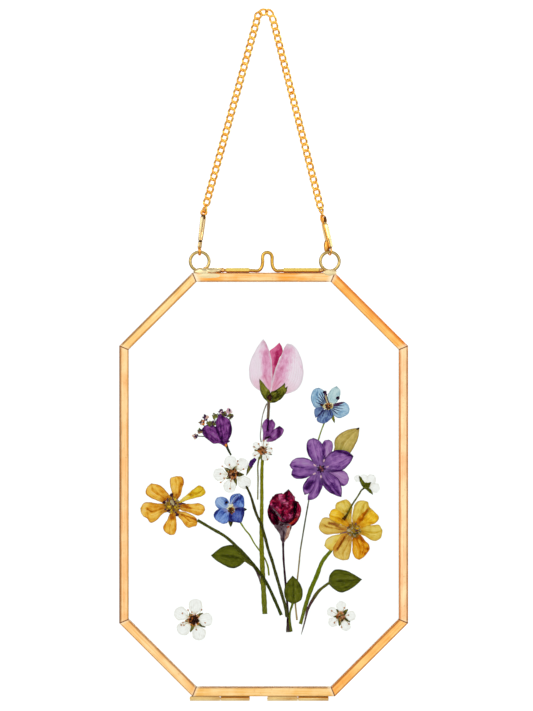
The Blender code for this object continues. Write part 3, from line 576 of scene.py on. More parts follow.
def pool(centre, half, seed, rows=22, cols=40):
    """A lump of solder: a flattened ball whose surface heaves by three crossed sines."""
    tilt = np.linspace(-math.pi / 2, math.pi / 2, rows + 2)[1:-1, None]
    turn = np.arange(cols) * math.tau / cols
    unit = woven(np.cos(tilt) * np.cos(turn), np.cos(tilt) * np.sin(turn), np.sin(tilt)).reshape(-1, 3)
    x, y, z = unit.T
    heave = 0.06 * np.sin(4 * x + 2.1 * seed) * np.cos(3 * z + seed) + 0.03 * np.sin(6 * x + 4 * z + 3 * seed)
    points = unit * (1 + heave)[:, None] * half + centre
    uv = woven(turn / math.tau, tilt).reshape(-1, 2)
    return Skin(points, quads(rows, cols), uv)


ring_brass = plain_metal("pale ring brass", (206, 180, 112), (178, 146, 80), 0.18, (16.0, 16.0, 16.0))
soft_solder = plain_metal("soft solder", (244, 228, 180), (222, 194, 138), 0.42, (7.0, 7.0, 22.0))
gold_solder = plain_metal("golden solder", (240, 200, 128), (216, 152, 76), 0.36, (30.0, 30.0, 60.0))
for number, (side, x) in enumerate(RING_X.items()):
    middle = np.array((x + FRAME_MID[0], 0.0, RING_Z))
    turn = np.arange(90) * math.tau / 90
    hoop = middle + np.stack([RING_RADIUS * np.cos(turn), 0 * turn, RING_RADIUS * np.sin(turn)], axis=1)
    skins = [(tube(hoop, RING_WIRE, 20, closed=True), 0)]
    for seed, (solder, dx, y, up, *half) in enumerate(POOLS[side]):
        centre = (middle[0] + dx / 1000, y / 1000, FRAME_TOP + up / 1000)
        skins.append((pool(centre, np.array(half) / 1000, seed + 5 * number), solder))
    ring = make(f"hanging_ring_{side}", skins, [ring_brass, soft_solder, gold_solder], 1.2)
    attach(ring, "front_leaf")
    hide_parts(f"ring_{side}")


# ---------------------------------------------------------------- bottom hinges
# Each hinge is two knuckles curled from sheet brass, one under each leaf, on a wire pin. A knuckle is one
# strip: a flat tab that a thin bed of solder holds under the bar, and that runs into a curl round the pin.
KNUCKLE_RADIUS = 0.00115
HINGE_Z = FRAME_TOP - FRAME_HEIGHT - GAP - KNUCKLE_RADIUS
KNUCKLE_BORE = 0.00075
TAB_REACH = 0.0024
TAB_THICK = 0.0004
PIN_RADIUS = 0.00045
BED_HALF = 0.0009


def knuckle(span, facing):
    """A curled strip: its outline, a tab and then a ring open by a thin slot, carried along X."""
    curl = np.linspace(math.radians(100), math.radians(100 - 338), 40)
    outer = np.stack([KNUCKLE_RADIUS * np.cos(curl), KNUCKLE_RADIUS * np.sin(curl)], axis=1)
    inner = np.stack([KNUCKLE_BORE * np.cos(curl), KNUCKLE_BORE * np.sin(curl)], axis=1)[::-1]
    top = KNUCKLE_RADIUS
    tab = np.array([(TAB_REACH, top - TAB_THICK), (TAB_REACH, top), (0.0006, top)])
    outline = np.vstack([outer[6:], inner[:-6], [(0.0004, top - TAB_THICK * 0.9)], tab])
    y, z = facing * outline[:, 0], HINGE_Z + outline[:, 1]
    xs = np.linspace(span[0], span[1], 12)
    points = woven(xs[:, None], y, z)
    uv = woven(xs[:, None] / 0.01, np.linspace(0, 1, len(y)))
    return Skin(points.reshape(-1, 3), quads(len(xs), len(y)), uv.reshape(-1, 2))


hinge_brass = plain_metal("hinge brass", (242, 212, 148), (206, 152, 82), 0.24, (6.0, 30.0, 30.0))
for side in ("left", "right"):
    for leaf, facing in (("front", -1), ("back", 1)):
        low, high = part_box(f"{leaf}_knuckle_{side}")
        bed = [(x, facing * TAB_REACH * 0.62, HINGE_Z + KNUCKLE_RADIUS + GAP / 2)
               for x in np.linspace(low.x + BED_HALF, high.x - BED_HALF, 8)]
        solder = tube(bed, BED_HALF, 16, axis=(0.0, 0.0, 1.0), squash=0.62 * GAP / BED_HALF)
        piece = make(f"{leaf}_curl_{side}", [(knuckle((low.x, high.x), facing), 0), (solder, 1)],
                     [hinge_brass, soft_solder])
        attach(piece, f"{leaf}_leaf")
        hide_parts(f"{leaf}_knuckle_{side}")
    low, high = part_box(f"hinge_pin_{side}")
    line = np.array([(x, 0.0, HINGE_Z) for x in np.linspace(low.x + PIN_RADIUS, high.x - PIN_RADIUS, 8)])
    pin = make(f"pin_wire_{side}", [(tube(line, PIN_RADIUS, 14), 0)], [wire_brass])
    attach(pin, "front_leaf")
    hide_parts(f"hinge_pin_{side}")


# ---------------------------------------------------------------- curb chain
# A gilt curb chain: 64 twisted links of round wire, filed flat in front and behind, in two straight strands
# that meet over the hook. Each link passes through the next; the last one of each strand is in a clasp's eye.
EYE_PIXELS = {"left": (203.9, 212.5), "right": (322.6, 215.6)}
STRAND_TOPS = {"left": (258.2, 15.5), "right": (273.0, 19.4)}
CROWN_LINKS = [(263.4, 12.2), (269.6, 13.1)]
STRAND_LINKS = 31
LINK_REACH = 0.00215
LINK_HALF = 0.00146
LINK_TWIST = 0.00048
LINK_WIRE = 0.00055
FILED = 0.00074
END_ROLL = 1.1
EYE_GRIP = 0.00228


def link(centre, along, roll=0.0, count=30, sides=8):
    """One link: its wire runs on cos t along the chain, sin t across it and a twist of sin 2t in depth, which
    takes it over one neighbour and under the same one on its other side. Front and back are filed flat."""
    t = np.arange(count) * math.tau / count
    along = np.array((along[0], 0.0, along[1])) / np.linalg.norm(along)
    depth = np.array((0.0, -1.0, 0.0))
    across = np.cross(along, depth)
    across, depth = (across * math.cos(roll) + depth * math.sin(roll),
                     depth * math.cos(roll) - across * math.sin(roll))
    offsets = (LINK_REACH * np.cos(t)[:, None] * along + LINK_HALF * np.sin(t)[:, None] * across
               + LINK_TWIST * np.sin(2 * t)[:, None] * depth)
    skin = tube(offsets, LINK_WIRE, sides, closed=True)
    off = skin.points @ depth
    filed = skin.points - (off - np.clip(off, -FILED, FILED))[:, None] * depth
    return skin._replace(points=filed + (centre[0], 0.0, centre[1]))


chain_gilt = plain_metal("chain gilding", (255, 210, 100), (232, 148, 34), 0.20, (90.0, 90.0, 90.0))
eyes = {side: spot(pixel) for side, pixel in EYE_PIXELS.items()}
tops = {side: spot(pixel) for side, pixel in STRAND_TOPS.items()}
centres = {}
for side in ("left", "right"):
    up = (tops[side] - eyes[side]) / np.linalg.norm(tops[side] - eyes[side])
    foot = eyes[side] + EYE_GRIP * up
    centres[side] = foot + (tops[side] - foot) * np.linspace(0, 1, STRAND_LINKS)[:, None]
route = np.vstack([centres["left"], spot(CROWN_LINKS), centres["right"][::-1]])
directions = np.gradient(route, axis=0)
rolls = np.zeros(len(route))
rolls[[0, -1]] = END_ROLL
all_links = [(link(*at_link), 0) for at_link in zip(route, directions, rolls)]
strands = {"left": all_links[:STRAND_LINKS], "right": all_links[STRAND_LINKS:]}
for side, links in strands.items():
    strand = make(f"curb_strand_{side}", links, [chain_gilt], 0.9)
    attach(strand, "hanger")
    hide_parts(f"chain_{side}")


# ---------------------------------------------------------------- spring clasps
# Cast lobster clasps: a slim body with a groove down its edge, a round eye for the chain, and a sprung hook
# on a rivet that closes round the hanging ring. The left one is seen on its edge, the right one turned a bit.
CLASP_TURNS = {"left": 0.0, "right": math.radians(22)}
SWING_Z = RING_Z + RING_RADIUS
HOOK_RADIUS = 0.0020
HOOK_WIRE = 0.00042
HOOK_FLAT = {"left": 1.8, "right": 1.1}
HOOK_LIFT = HOOK_RADIUS - HOOK_WIRE - RING_WIRE - GAP
# Each eye's radius, how much taller than wide it is, its wire, and how far down the clasp its middle lies
EYES = {"left": (0.0013, 1.0, 0.0006, 0.0), "right": (0.00140, 1.75, 0.0004, 0.0020)}
BODY_STARTS = {"left": 0.06, "right": 0.20}
# Body from the eye down: share of the way, half thickness and half breadth in millimetres
BODY_ROWS = [(0.0, 0.5, 0.5), (0.04, 1.15, 0.9), (0.11, 1.46, 1.30), (0.32, 1.45, 1.65), (0.65, 1.36, 1.85),
             (0.87, 1.26, 1.85), (0.98, 1.20, 1.75), (1.0, 0.75, 1.30)]
BODY_ENDS = {"left": 0.815, "right": 1.0}
ARM_ROWS = {"left": [(0.845, 0.8, 1.20), (0.855, 1.08, 1.60), (0.97, 1.08, 1.55), (1.03, 1.0, 1.20),
                     (1.05, 0.7, 0.70)],
            "right": [(0.98, 0.4, 0.8), (0.99, 0.7, 1.0), (1.03, 0.7, 1.0), (1.05, 0.3, 0.6)]}
# Small parts as (1 for painted shadow or 2 for amber shade, share of the way, offset in x and y, half
# sizes) in millimetres: rivets, levers, and dark lumps of painted shadow under the eyes
TRIMS = {"left": [(1, 0.83, 0.0, 0.0, 1.12, 1.4, 0.36), (2, 0.80, 0.0, 1.6, 0.9, 1.0, 1.9),
                  (1, 0.15, 0.6, -1.2, 0.4, 0.3, 1.5), (1, 0.09, -0.5, -1.0, 0.5, 0.3, 0.6)],
         "right": [(1, 1.02, 0.35, -1.0, 0.7, 0.5, 0.45), (2, 0.96, -1.75, 0.3, 1.25, 1.3, 3.3),
                   (1, 0.135, 0.75, 0.0, 0.8, 0.3, 2.0), (2, 0.12, -0.5, 0.1, 0.8, 0.35, 1.9),
                   (1, 1.10, -0.75, -0.3, 0.3, 0.5, 1.4)]}


def loft(start, end, rows, turn, groove=0.0, count=44, sides=48):
    """A cast body between two places: rounded boxes |x|^p + |y|^p = 1 of a smoothly changing size, with a
    groove pressed in along the middle of both narrow edges, and turned about Z."""
    share, thick, broad = np.array(rows).T
    steps = np.sort(np.concatenate([share, np.linspace(share[0], share[-1], count)]))
    thick, broad = [np.interp(steps, share, size)[:, None] / 1000 for size in (thick, broad)]
    a = np.arange(sides) * math.tau / sides
    u = np.sign(np.cos(a)) * np.abs(np.cos(a)) ** 0.38
    v = np.sign(np.sin(a)) * np.abs(np.sin(a)) ** 0.38
    nick = 1 - groove * np.exp(-(u / 0.30) ** 2) * np.clip((steps[:, None] - steps[0] - 0.12) * 12, 0, 1)
    u, v = thick * u, broad * v * nick
    spine = start + (end - start) * steps[:, None]
    x = spine[:, :1] + u * math.cos(turn) - v * math.sin(turn)
    points = woven(x, u * math.sin(turn) + v * math.cos(turn), spine[:, 1:])
    uv = woven(steps[:, None], 0.5 + 0.5 * u / thick)
    return Skin(points.reshape(-1, 3), quads(len(steps), sides), uv.reshape(-1, 2))


# Painted shade: a dark copy of the clasp metal for shadowed rivets, slots and gaps, and an amber copy for the
# shaded levers, eyes and hook rings
clasp_shadow = plain_metal("clasp shadow", (96, 58, 24), (50, 26, 10), 0.40)
clasp_amber_shade = plain_metal("clasp amber shade", (250, 190, 92), (232, 152, 56), 0.24, (6.0, 6.0, 3.0))
# Each clasp's two golds, the colour of its bands of painted shade, and the bands as shares of the turn: on
# the left one's edges and groove, on the right one's side face
CLASP_LOOKS = {"left": ((248, 230, 180), (226, 196, 132), (140, 88, 32),
                        [(0.0, 0.08), (0.48, 0.62), (0.80, 0.88)]),
               "right": ((255, 240, 176), (250, 222, 142), (246, 168, 62), [(0.0, 0.34), (0.96, 1.0)])}
for side, turn in CLASP_TURNS.items():
    bright, dark, shade_colour, shaded_bands = CLASP_LOOKS[side]
    clasp_gilt = plain_metal(f"clasp gilding {side}", bright, dark, 0.20, (6.0, 6.0, 3.0), shade_colour, shaded_bands)
    eye = eyes[side]
    hook = np.array((RING_X[side] + FRAME_MID[0], SWING_Z + HOOK_LIFT))
    crown = hook + (0.0, HOOK_RADIUS)
    t = np.arange(48) * math.tau / 48
    flat = np.array((math.cos(turn + math.pi / 2), math.sin(turn + math.pi / 2), 0.0))
    narrow = np.array((math.cos(turn), math.sin(turn), 0.0))
    rise = np.array((0.0, 0.0, 1.0))
    ring = (hook[0], 0.0, hook[1]) + HOOK_RADIUS * (np.cos(t)[:, None] * flat + np.sin(t)[:, None] * rise)
    radius, tall, wire, down = EYES[side]
    run = (crown - eye) / np.linalg.norm(crown - eye)
    spine = np.array((run[0], 0.0, run[1]))
    eye_mid = np.array((eye[0], 0.0, eye[1])) + down * spine
    eye_path = eye_mid + radius * (np.cos(t)[:, None] * narrow - tall * np.sin(t)[:, None] * spine)
    first, last = BODY_STARTS[side], BODY_ENDS[side]
    body = [(first + (last - first) * share, thick, broad) for share, thick, broad in BODY_ROWS]
    skins = [(loft(eye, crown, body, turn, 0.16), 0), (loft(eye, crown, ARM_ROWS[side], turn, 0.05), 0),
             (tube(ring, HOOK_WIRE, 16, axis=narrow, closed=True, squash=HOOK_FLAT[side]), 2),
             (tube(eye_path, wire, 14, axis=flat, closed=True), 2)]
    for finish, share, dx, y, *half in TRIMS[side]:
        x, z = eye + (crown - eye) * share
        skins.append((pool((x + dx / 1000, y / 1000, z), np.array(half) / 1000, 2.0, 14, 24), finish))
    clasp = make(f"spring_clasp_{side}", skins, [clasp_gilt, clasp_shadow, clasp_amber_shade], 0.8)
    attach(clasp, "hanger")
    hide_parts(f"clasp_{side}")


# ---------------------------------------------------------------- pink blossom
# A pressed bud of three broad petals, pale pink outside and magenta within, in an olive calyx on a thick
# stem. Petals are thin skins between two edge curves, pressed flat but still cupped, veined and ruffled.
LAYERS = {0: -0.0009, 1: -0.0003, 2: 0.0003, 3: 0.0009}
PETAL_THICK = 0.00009
EDGE_GROWTH = 0.00006
TONES = (-0.4, 1.4)
FEWEST_SHADED = 150


def blade(left, right, y, tone=0.5, lean=0.0, ragged=0.10, crease=None, cup=0.10, ruffle=0.05, ridge=0.006):
    """A petal or leaf: a thin closed skin between two edge curves, in pixels. The left edge is the row of x
    and y from the base to the tip; the right one has only the places between the same base and tip.

    Its relief, in millimetres towards the front, is a cup that is highest down the middle, ribs that run
    from base to tip, a ruffle that grows towards the tip, and a crease: a sharp fold at some share across
    it. The tone of a point follows the relief as painted shade and light, darker in hollows and lighter on
    rises, with a painted shadow along the crease and a painted highlight beside it, and may lean: grow from
    left to right. The edges are ragged by a few sines, in pixels.
    """
    left, right = np.reshape(left, (-1, 2)), np.reshape(right, (-1, 2))
    base, tip = left[0], left[-1]
    reach = math.dist(base, tip)
    wide = max(math.dist(a, b) for a, b in zip(left[1:-1], right))
    rows, cols = int(np.clip(1.1 * reach, 12, 46)), int(np.clip(1.1 * wide, 6, 28)) | 1
    ribs, seed = round(wide / 4), 0.37 * (base[0] + tip[1] - 2 * tip[0])
    u = np.linspace(0, 1, rows)[:, None]
    v = np.linspace(0, 1, cols)[None]
    edges = [spot(curve(side, rows)) for side in (left, [base, *right, tip])]
    along = np.gradient(0.5 * (edges[0] + edges[1]), axis=0)
    along /= np.linalg.norm(along, axis=1)[:, None] + 1e-12
    normal = np.stack([along[:, 1], -along[:, 0]], axis=1)
    if np.sum((edges[1] - edges[0]) * normal) < 0:
        normal = -normal
    bite = ragged * PIXEL * np.sin(np.pi * u) ** 0.5
    torn = [bite * (np.sin(17 * u + 5 * seed + k) + 0.7 * np.sin(41 * u + 3 * seed + 2 * k)) for k in (0, 2)]
    edges = [edges[0] - (EDGE_GROWTH + torn[0]) * normal, edges[1] + (EDGE_GROWTH + torn[1]) * normal]
    plane = edges[0][:, None] * (1 - v[..., None]) + edges[1][:, None] * v[..., None]
    bell = np.sin(np.pi * np.clip(u, 0.02, 0.98)) ** 0.6
    size = min(1.0, wide / 10)
    relief = cup * size * np.sin(np.pi * v) * bell
    relief = relief + ridge * np.cos(math.tau * ribs * v + seed) * bell
    relief = relief + ruffle * size * u ** 2 * np.sin(math.tau * (2.3 * v + 0.8 * u) + 3.1 * seed)
    relief = relief + 0.4 * ruffle * size * np.sin(math.tau * (5.1 * v - 2.7 * u) + 1.7 * seed) * bell
    # Painted shade and light: the tone darkens in the relief's hollows and lightens on its rises
    shade = tone + 2.0 * (relief - relief.mean()) + lean * (v - 0.5)
    if crease:
        where, height = crease
        fold = np.exp(-((v - where) / 0.06) ** 2) * bell
        relief = relief + height * fold
        # Painted shadow along the crease and a painted highlight just beside it
        shade = shade - 0.5 * fold + 0.3 * np.exp(-((v - where - 0.09) / 0.06) ** 2) * bell
    wall = 0.5 * PETAL_THICK * (0.3 + 0.7 * np.sin(np.pi * v) ** 0.5) * (0.4 + 0.6 * bell)
    front, back = y - relief / 1000 - wall, y - relief / 1000 + wall
    depth = np.concatenate([front, back[:, ::-1]], axis=1)
    flat = np.concatenate([plane, plane[:, ::-1]], axis=1)
    points = np.stack([flat[..., 0], depth, flat[..., 1]], axis=-1).reshape(-1, 3)
    across = np.broadcast_to(np.concatenate([v, v[:, ::-1]], axis=1), depth.shape)
    uv = woven(u, across).reshape(-1, 2)
    shade = np.concatenate([shade, shade[:, ::-1]], axis=1)
    return Skin(points, quads(rows, 2 * cols), uv, np.clip(shade, *TONES).ravel())


def petal_finish(name, light, deep, vein, veins=7.0, lines=0.6, throat=None, throat_end=0.3, rim=None,
                 contrast=1.0, crumple_shade=0.0, roughness=0.8):
    """A dried petal, in eight-bit colours: from its vein colour over deep and light to nearly white by
    tone, which carries painted shade and light, so the nearly white end is partly a painted highlight; with
    clouds and long streaks, wavering veins that fan out from the base as lines of one share across it, a
    throat colour near the base, another along the rim that is partly its own edge colour and partly painted
    shade where petals overlap, and dark ridged lines of painted shade in the creases of crumpling where it
    has any."""
    light, deep, vein = srgb(*light), srgb(*deep), srgb(*vein)
    made, tree, shader, at = blank(name, roughness)
    shader.inputs["Specular IOR Level"].default_value = 0.0
    place = node(tree, "SeparateXYZ", {0: at.outputs["UV"]})
    along, across = place.outputs[0], place.outputs[1]
    tone = node(tree, "Attribute", attribute_name="tone").outputs["Fac"]
    cloud = speckle(tree, at.outputs["Object"], 430.0, detail=5.0)
    shift = node(tree, "VectorMath", {0: at.outputs["Object"], 1: (70.0, 70.0, 70.0), 2: at.outputs["UV"]},
                 operation="MULTIPLY_ADD")
    streak = speckle(tree, shift.outputs[0], 6.0, (0.35, 2.4, 1.0))
    share = sums(tree, "ADD", tone, swung(tree, cloud, 0.5, 1.6 * contrast))
    share = sums(tree, "ADD", share, swung(tree, streak, 0.5, 1.5 * contrast))
    share = sums(tree, "MULTIPLY", sums(tree, "ADD", share, 0.5), 0.5, clamped=True)
    pale = tuple(0.10 + 0.85 * part for part in light)
    colour = graded(tree, share, (0.12, vein), (0.34, deep), (0.66, light), (0.92, pale))
    waver = sums(tree, "MULTIPLY", speckle(tree, at.outputs["Object"], 210.0), 0.12)
    wave = sums(tree, "SINE", sums(tree, "MULTIPLY", sums(tree, "ADD", across, waver), math.tau * veins))
    line = graded(tree, wave, (0.55, 0.0), (0.97, lines))
    line = mixed(tree, graded(tree, along, (0.03, 0.0), (0.95, 0.65)), line, (0.0, 0.0, 0.0, 1.0))
    colour = mixed(tree, line, colour, vein)
    # Painted shade: dark ridged lines in the creases of crumpling
    if crumple_shade:
        folds = speckle(tree, at.outputs["Object"], 800.0)
        ridge = sums(tree, "ABSOLUTE", sums(tree, "SUBTRACT", folds, 0.5))
        colour = mixed(tree, graded(tree, ridge, (0.01, crumple_shade), (0.10, 0.0)), colour, vein)
    if throat:
        colour = mixed(tree, graded(tree, along, (0.04, 0.9), (throat_end, 0.0)), colour, srgb(*throat))
    # The rim colour is partly the petal's own edge colour and partly painted shade standing in for the shade
    # where petals overlap
    if rim:
        off = sums(tree, "MULTIPLY", sums(tree, "ABSOLUTE", sums(tree, "SUBTRACT", across, 0.5)), 2.0)
        edge = sums(tree, "MAXIMUM", off, sums(tree, "MULTIPLY", along, 0.98))
        edge = sums(tree, "ADD", edge, swung(tree, cloud, 0.5, 0.2))
        colour = mixed(tree, graded(tree, edge, (0.82, 0.0), (0.96, 0.85)), colour, srgb(*rim))
    tree.links.new(colour, shader.inputs["Base Color"])
    bump(tree, shader, sums(tree, "ADD", sums(tree, "MULTIPLY", wave, 0.25), cloud), 0.45, 0.00015)
    return made


def stalk(path, widths, y, depth=0.30, ribs=5, sides=20, tone=0.5):
    """A pressed stem along a path, a row of x and y in pixels, with full widths in pixels spread evenly
    along it: an oval whose rim is ribbed by a cosine and whose width swells and thins slowly along its
    length."""
    path = np.reshape(path, (-1, 2)).astype(float)
    length = np.sum(np.linalg.norm(np.diff(path, axis=0), axis=1))
    count = int(np.clip(length / 1.1, 8, 220))
    line = spot(curve(path, count))
    share = np.linspace(0, 1, count)
    width = np.interp(share, np.linspace(0, 1, np.size(widths)), np.atleast_1d(widths)) * PIXEL / 2
    width = width * (1 + 0.05 * np.sin(share * length * 0.35) + 0.04 * np.sin(share * length * 0.9))
    run = np.gradient(line, axis=0)
    run /= np.linalg.norm(run, axis=1)[:, None]
    across = np.stack([run[:, 1], -run[:, 0]], axis=1)
    a = np.arange(sides) * math.tau / sides
    rim = 1 + 0.07 * np.cos(ribs * a)
    deep = np.minimum(width * 0.9, depth / 2000)
    plane = line[:, None] + across[:, None] * (width[:, None] * rim * np.cos(a))[..., None]
    ys = y + deep[:, None] * rim * np.sin(a)
    points = np.stack([plane[..., 0], ys, plane[..., 1]], axis=-1).reshape(-1, 3)
    uv = woven(share[:, None], a / math.tau).reshape(-1, 2)
    return Skin(points, quads(count, sides), uv, tone)


def stem_finish(name, stops, fibre, length=100.0, roughness=0.65):
    """A dried stem: its colour changes from base to tip through the stops, streaked along by a fibre
    colour."""
    made, tree, shader, at = blank(name, roughness)
    shader.inputs["Specular IOR Level"].default_value = 0.0
    place = node(tree, "SeparateXYZ", {0: at.outputs["UV"]})
    colour = graded(tree, place.outputs[0], *[(share, srgb(*stop)) for share, stop in stops])
    streak = speckle(tree, at.outputs["UV"], 6.0, (length / 12.0, 3.0, 1.0), 4.0)
    spots = speckle(tree, at.outputs["Object"], 1300.0)
    share = sums(tree, "ADD", graded(tree, streak, (0.42, 0.0), (0.66, 0.75)),
                 graded(tree, spots, (0.6, 0.0), (0.75, 0.5)))
    colour = mixed(tree, sums(tree, "MINIMUM", share, 0.9), colour, srgb(*fibre))
    tree.links.new(colour, shader.inputs["Base Color"])
    bump(tree, shader, sums(tree, "ADD", streak, spots), 0.5, 0.00008)
    return made


def bead(pixel, y, radii, tilt=0.0, tone=0.5, rows=9, cols=14, lumps=0.0, seed=0.0, depth=None):
    """A small flattened ball at a pixel, with its half sizes in pixels, turned by a tilt; lumps make it
    rough, and its tone is painted lighter where they swell and darker where they sink, as painted light and
    shade."""
    lean = np.linspace(-math.pi / 2, math.pi / 2, rows + 2)[1:-1, None]
    turn = np.arange(cols) * math.tau / cols
    x, y1, z = np.cos(lean) * np.cos(turn), np.sin(lean) + 0 * turn, np.cos(lean) * np.sin(turn)
    swell = 1 + lumps * (np.sin(7 * x + 5 * z + seed) + np.sin(11 * z - 6 * y1 + 2 * seed)) / 2
    wide, tall = np.array(radii) * PIXEL
    px, pz = x * swell * wide, z * swell * tall
    middle = spot(pixel)
    deep = min(wide, tall, 0.00016) if depth is None else depth / 1000
    points = np.stack([
        middle[0] + px * math.cos(tilt) - pz * math.sin(tilt), y + y1 * swell * deep,
        middle[1] + px * math.sin(tilt) + pz * math.cos(tilt)], axis=-1).reshape(-1, 3)
    uv = woven(turn / math.tau, 0.5 + lean / math.pi).reshape(-1, 2)
    # Painted shade and light: the tone rises where the lumps swell and falls where they sink
    return Skin(points, quads(rows, cols), uv, np.clip(tone + 0.8 * (swell - 1).ravel(), 0, 1))


def stroked(places, strokes):
    """What the strokes add to the tone at places: each fades as a bell with the distance from its line. A
    stroke is two ends and a width in pixels, and an amount. They paint both colour and light: darker colour
    and painted shade in folds and creases, lighter colour and painted highlights."""
    total = np.zeros(places.shape[:-1])
    for x0, y0, x1, y1, wide, amount in strokes:
        start, run = spot((x0, y0)), spot((x1, y1)) - spot((x0, y0))
        share = np.clip((places - start) @ run / (run @ run + 1e-12), 0, 1)
        off = np.linalg.norm(places - start - share[..., None] * run, axis=-1)
        total += amount * np.exp(-(off / (wide * PIXEL)) ** 2)
    return total


def pressed(name, skins, finishes, strokes=()):
    """A pressed plant lies between the panes, on the front leaf, in place of its solid. Strokes, partly its
    own colour and partly painted shade and highlight, change the tone of its bigger skins, those with more
    than a fewest number of points."""
    for k, (skin, finish) in enumerate(skins):
        if strokes and len(skin.points) > FEWEST_SHADED:
            tone = np.clip(skin.tone + stroked(skin.points[:, ::2], strokes), *TONES)
            skins[k] = (skin._replace(tone=tone), finish)
    plant = make(name + "_pressed", skins, finishes, 1.0)
    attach(plant, "front_leaf")
    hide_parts(name)


petal_pink = petal_finish("faded pink petal", (242, 224, 236), (228, 164, 198), (204, 120, 156), 13.0, 0.28,
    throat=(226, 160, 180), throat_end=0.42, rim=(222, 206, 216), contrast=0.55)
petal_magenta = petal_finish("magenta petal", (226, 116, 160), (186, 50, 104), (160, 34, 84), 4.0, 0.4,
    contrast=0.6)
calyx_green = petal_finish("olive calyx", (140, 138, 44), (44, 46, 6), (30, 26, 6), 5.0, 0.7,
    rim=(50, 44, 10), contrast=1.3)
dark_brown = petal_finish("dried brown", (104, 62, 40), (38, 18, 16), (24, 10, 12), 3.0, 0.4)
knob_purple = petal_finish("dark purple knob", (88, 54, 88), (36, 14, 42), (20, 6, 26), 3.0, 0.4)
y = LAYERS[0]
pressed("pink_blossom", [
    (blade((272.4, 386, 271.4, 368, 270.3, 357, 269.4, 351.4, 274, 347.6, 279.4, 342.7),
        (275.5, 369, 279.5, 358, 282.7, 351.9, 281.6, 346.5), y + 0.00012, lean=-0.8), 1),
    (blade((270.3, 393, 262, 391.5, 255.5, 387.8, 250.8, 381.5, 249.1, 371.5, 250.7, 361, 254.2, 353,
        258.7, 345, 263.2, 339.2), (272.2, 380, 272, 368, 271, 357.5, 268.6, 349, 265.8, 342.8), y,
        tone=0.55, lean=-0.9), 0),
    (blade((270.8, 393.5, 272.6, 380, 275, 370, 278.6, 361.5, 282.4, 352.8, 284.8, 347, 287.2, 343.7),
        (280, 395, 288.7, 393.2, 296.2, 390, 300.8, 384, 303.4, 374, 302.5, 363.5, 299, 353.8, 295.6, 348,
        291.6, 344.5), y - 0.00006, tone=0.55, lean=0.9), 0),
    (blade((272, 401.5, 277, 393.5, 283.6, 388.4, 288, 385.4), (279.5, 400, 284.6, 394.5, 287.3, 389.6),
        y - 0.00012, tone=0.3), 2),
    (blade((268.3, 402, 265.2, 399.6, 261.4, 394, 259.8, 386, 259.4, 378.8),
        (270.3, 397, 270.2, 392.5, 266, 386.8, 262, 381.6), y - 0.00016, tone=0.6), 2),
    (blade((269.5, 402.8, 270, 396, 270.9, 392.3, 275.2, 390.3, 280.6, 386.9, 284.9, 382.7),
        (275, 402.4, 280, 399, 283.8, 393.5, 285.3, 387.5), y - 0.00018, tone=0.45), 2),
    (bead((269.6, 397.6), y - 0.00024, (2.6, 3.6), 0.2, 0.25, lumps=0.25), 3),
], [petal_pink, petal_magenta, calyx_green, dark_brown], [
    (264.5, 354, 264.5, 376, 3, -0.45), (291, 349.5, 291, 350.5, 3.5, -0.45), (255, 352, 252, 366, 3, 0.25),
    (285, 362, 277.5, 385, 3.2, -0.35), (297, 372, 290, 389, 5, 0.35), (258.4, 360, 258.6, 376, 2.5, 0.4),
    (264.6, 341.5, 267.6, 347.5, 0.9, -1.6), (268.5, 386, 265, 376, 0.7, -0.6),
    (273, 388, 278, 378, 0.6, -0.6), (274.5, 389, 281, 381, 0.6, -0.6), (301, 366, 303, 372, 0.8, -0.6),
    (277.4, 352, 275.6, 364, 1.4, -0.8)])

thick_stem = stem_finish("thick olive stem", [(0.0, (122, 96, 88)), (0.09, (114, 92, 76)),
    (0.20, (104, 88, 40)), (0.30, (132, 130, 18)), (0.70, (128, 128, 20)), (1.0, (108, 114, 34))],
    (70, 68, 14), 215.0)
strand_grey = stem_finish("grey strand", [(0.0, (150, 136, 124)), (1.0, (120, 116, 100))], (90, 80, 70))
y = LAYERS[1]
pressed("pink_stem", [
    (stalk((268.9, 399, 268, 418, 265, 440, 262.5, 460, 261.8, 500, 261.7, 550, 263.2, 583, 264.9, 614),
        [2.8, 2.6, 3, 3.2, 3.6, 4.4, 4.8, 4.9], y, 0.34, 6), 0),
    (stalk((266.9, 403.5, 265.4, 407, 262.8, 415, 261.1, 428, 260.5, 438, 261.3, 442), [1.3, 1, 1, 1.1],
        y - 0.0001, 0.15, 3, 10), 1),
], [thick_stem, strand_grey])


# ---------------------------------------------------------------- violet floret
# A small violet floret of four folded lobes that lies over the top of the pink blossom's stem.
def lens(base, tip, width, y, bow=0.0, **looks):
    """A narrow pointed blade, widest a little below its middle, in pixels, bent sideways by a bow."""
    base, tip = np.array(base, float), np.array(tip, float)
    run = tip - base
    side = np.array((-run[1], run[0])) / np.linalg.norm(run)
    line = [(0.08, 0.40), (0.30, 0.92), (0.50, 1.0), (0.75, 0.66), (0.93, 0.26)]
    edges = [[base + run * s + side * (bow * 4 * s * (1 - s) + turn * width * w / 2) for s, w in line]
             for turn in (1, -1)]
    return blade([base, *edges[0], tip], edges[1], y, **looks)


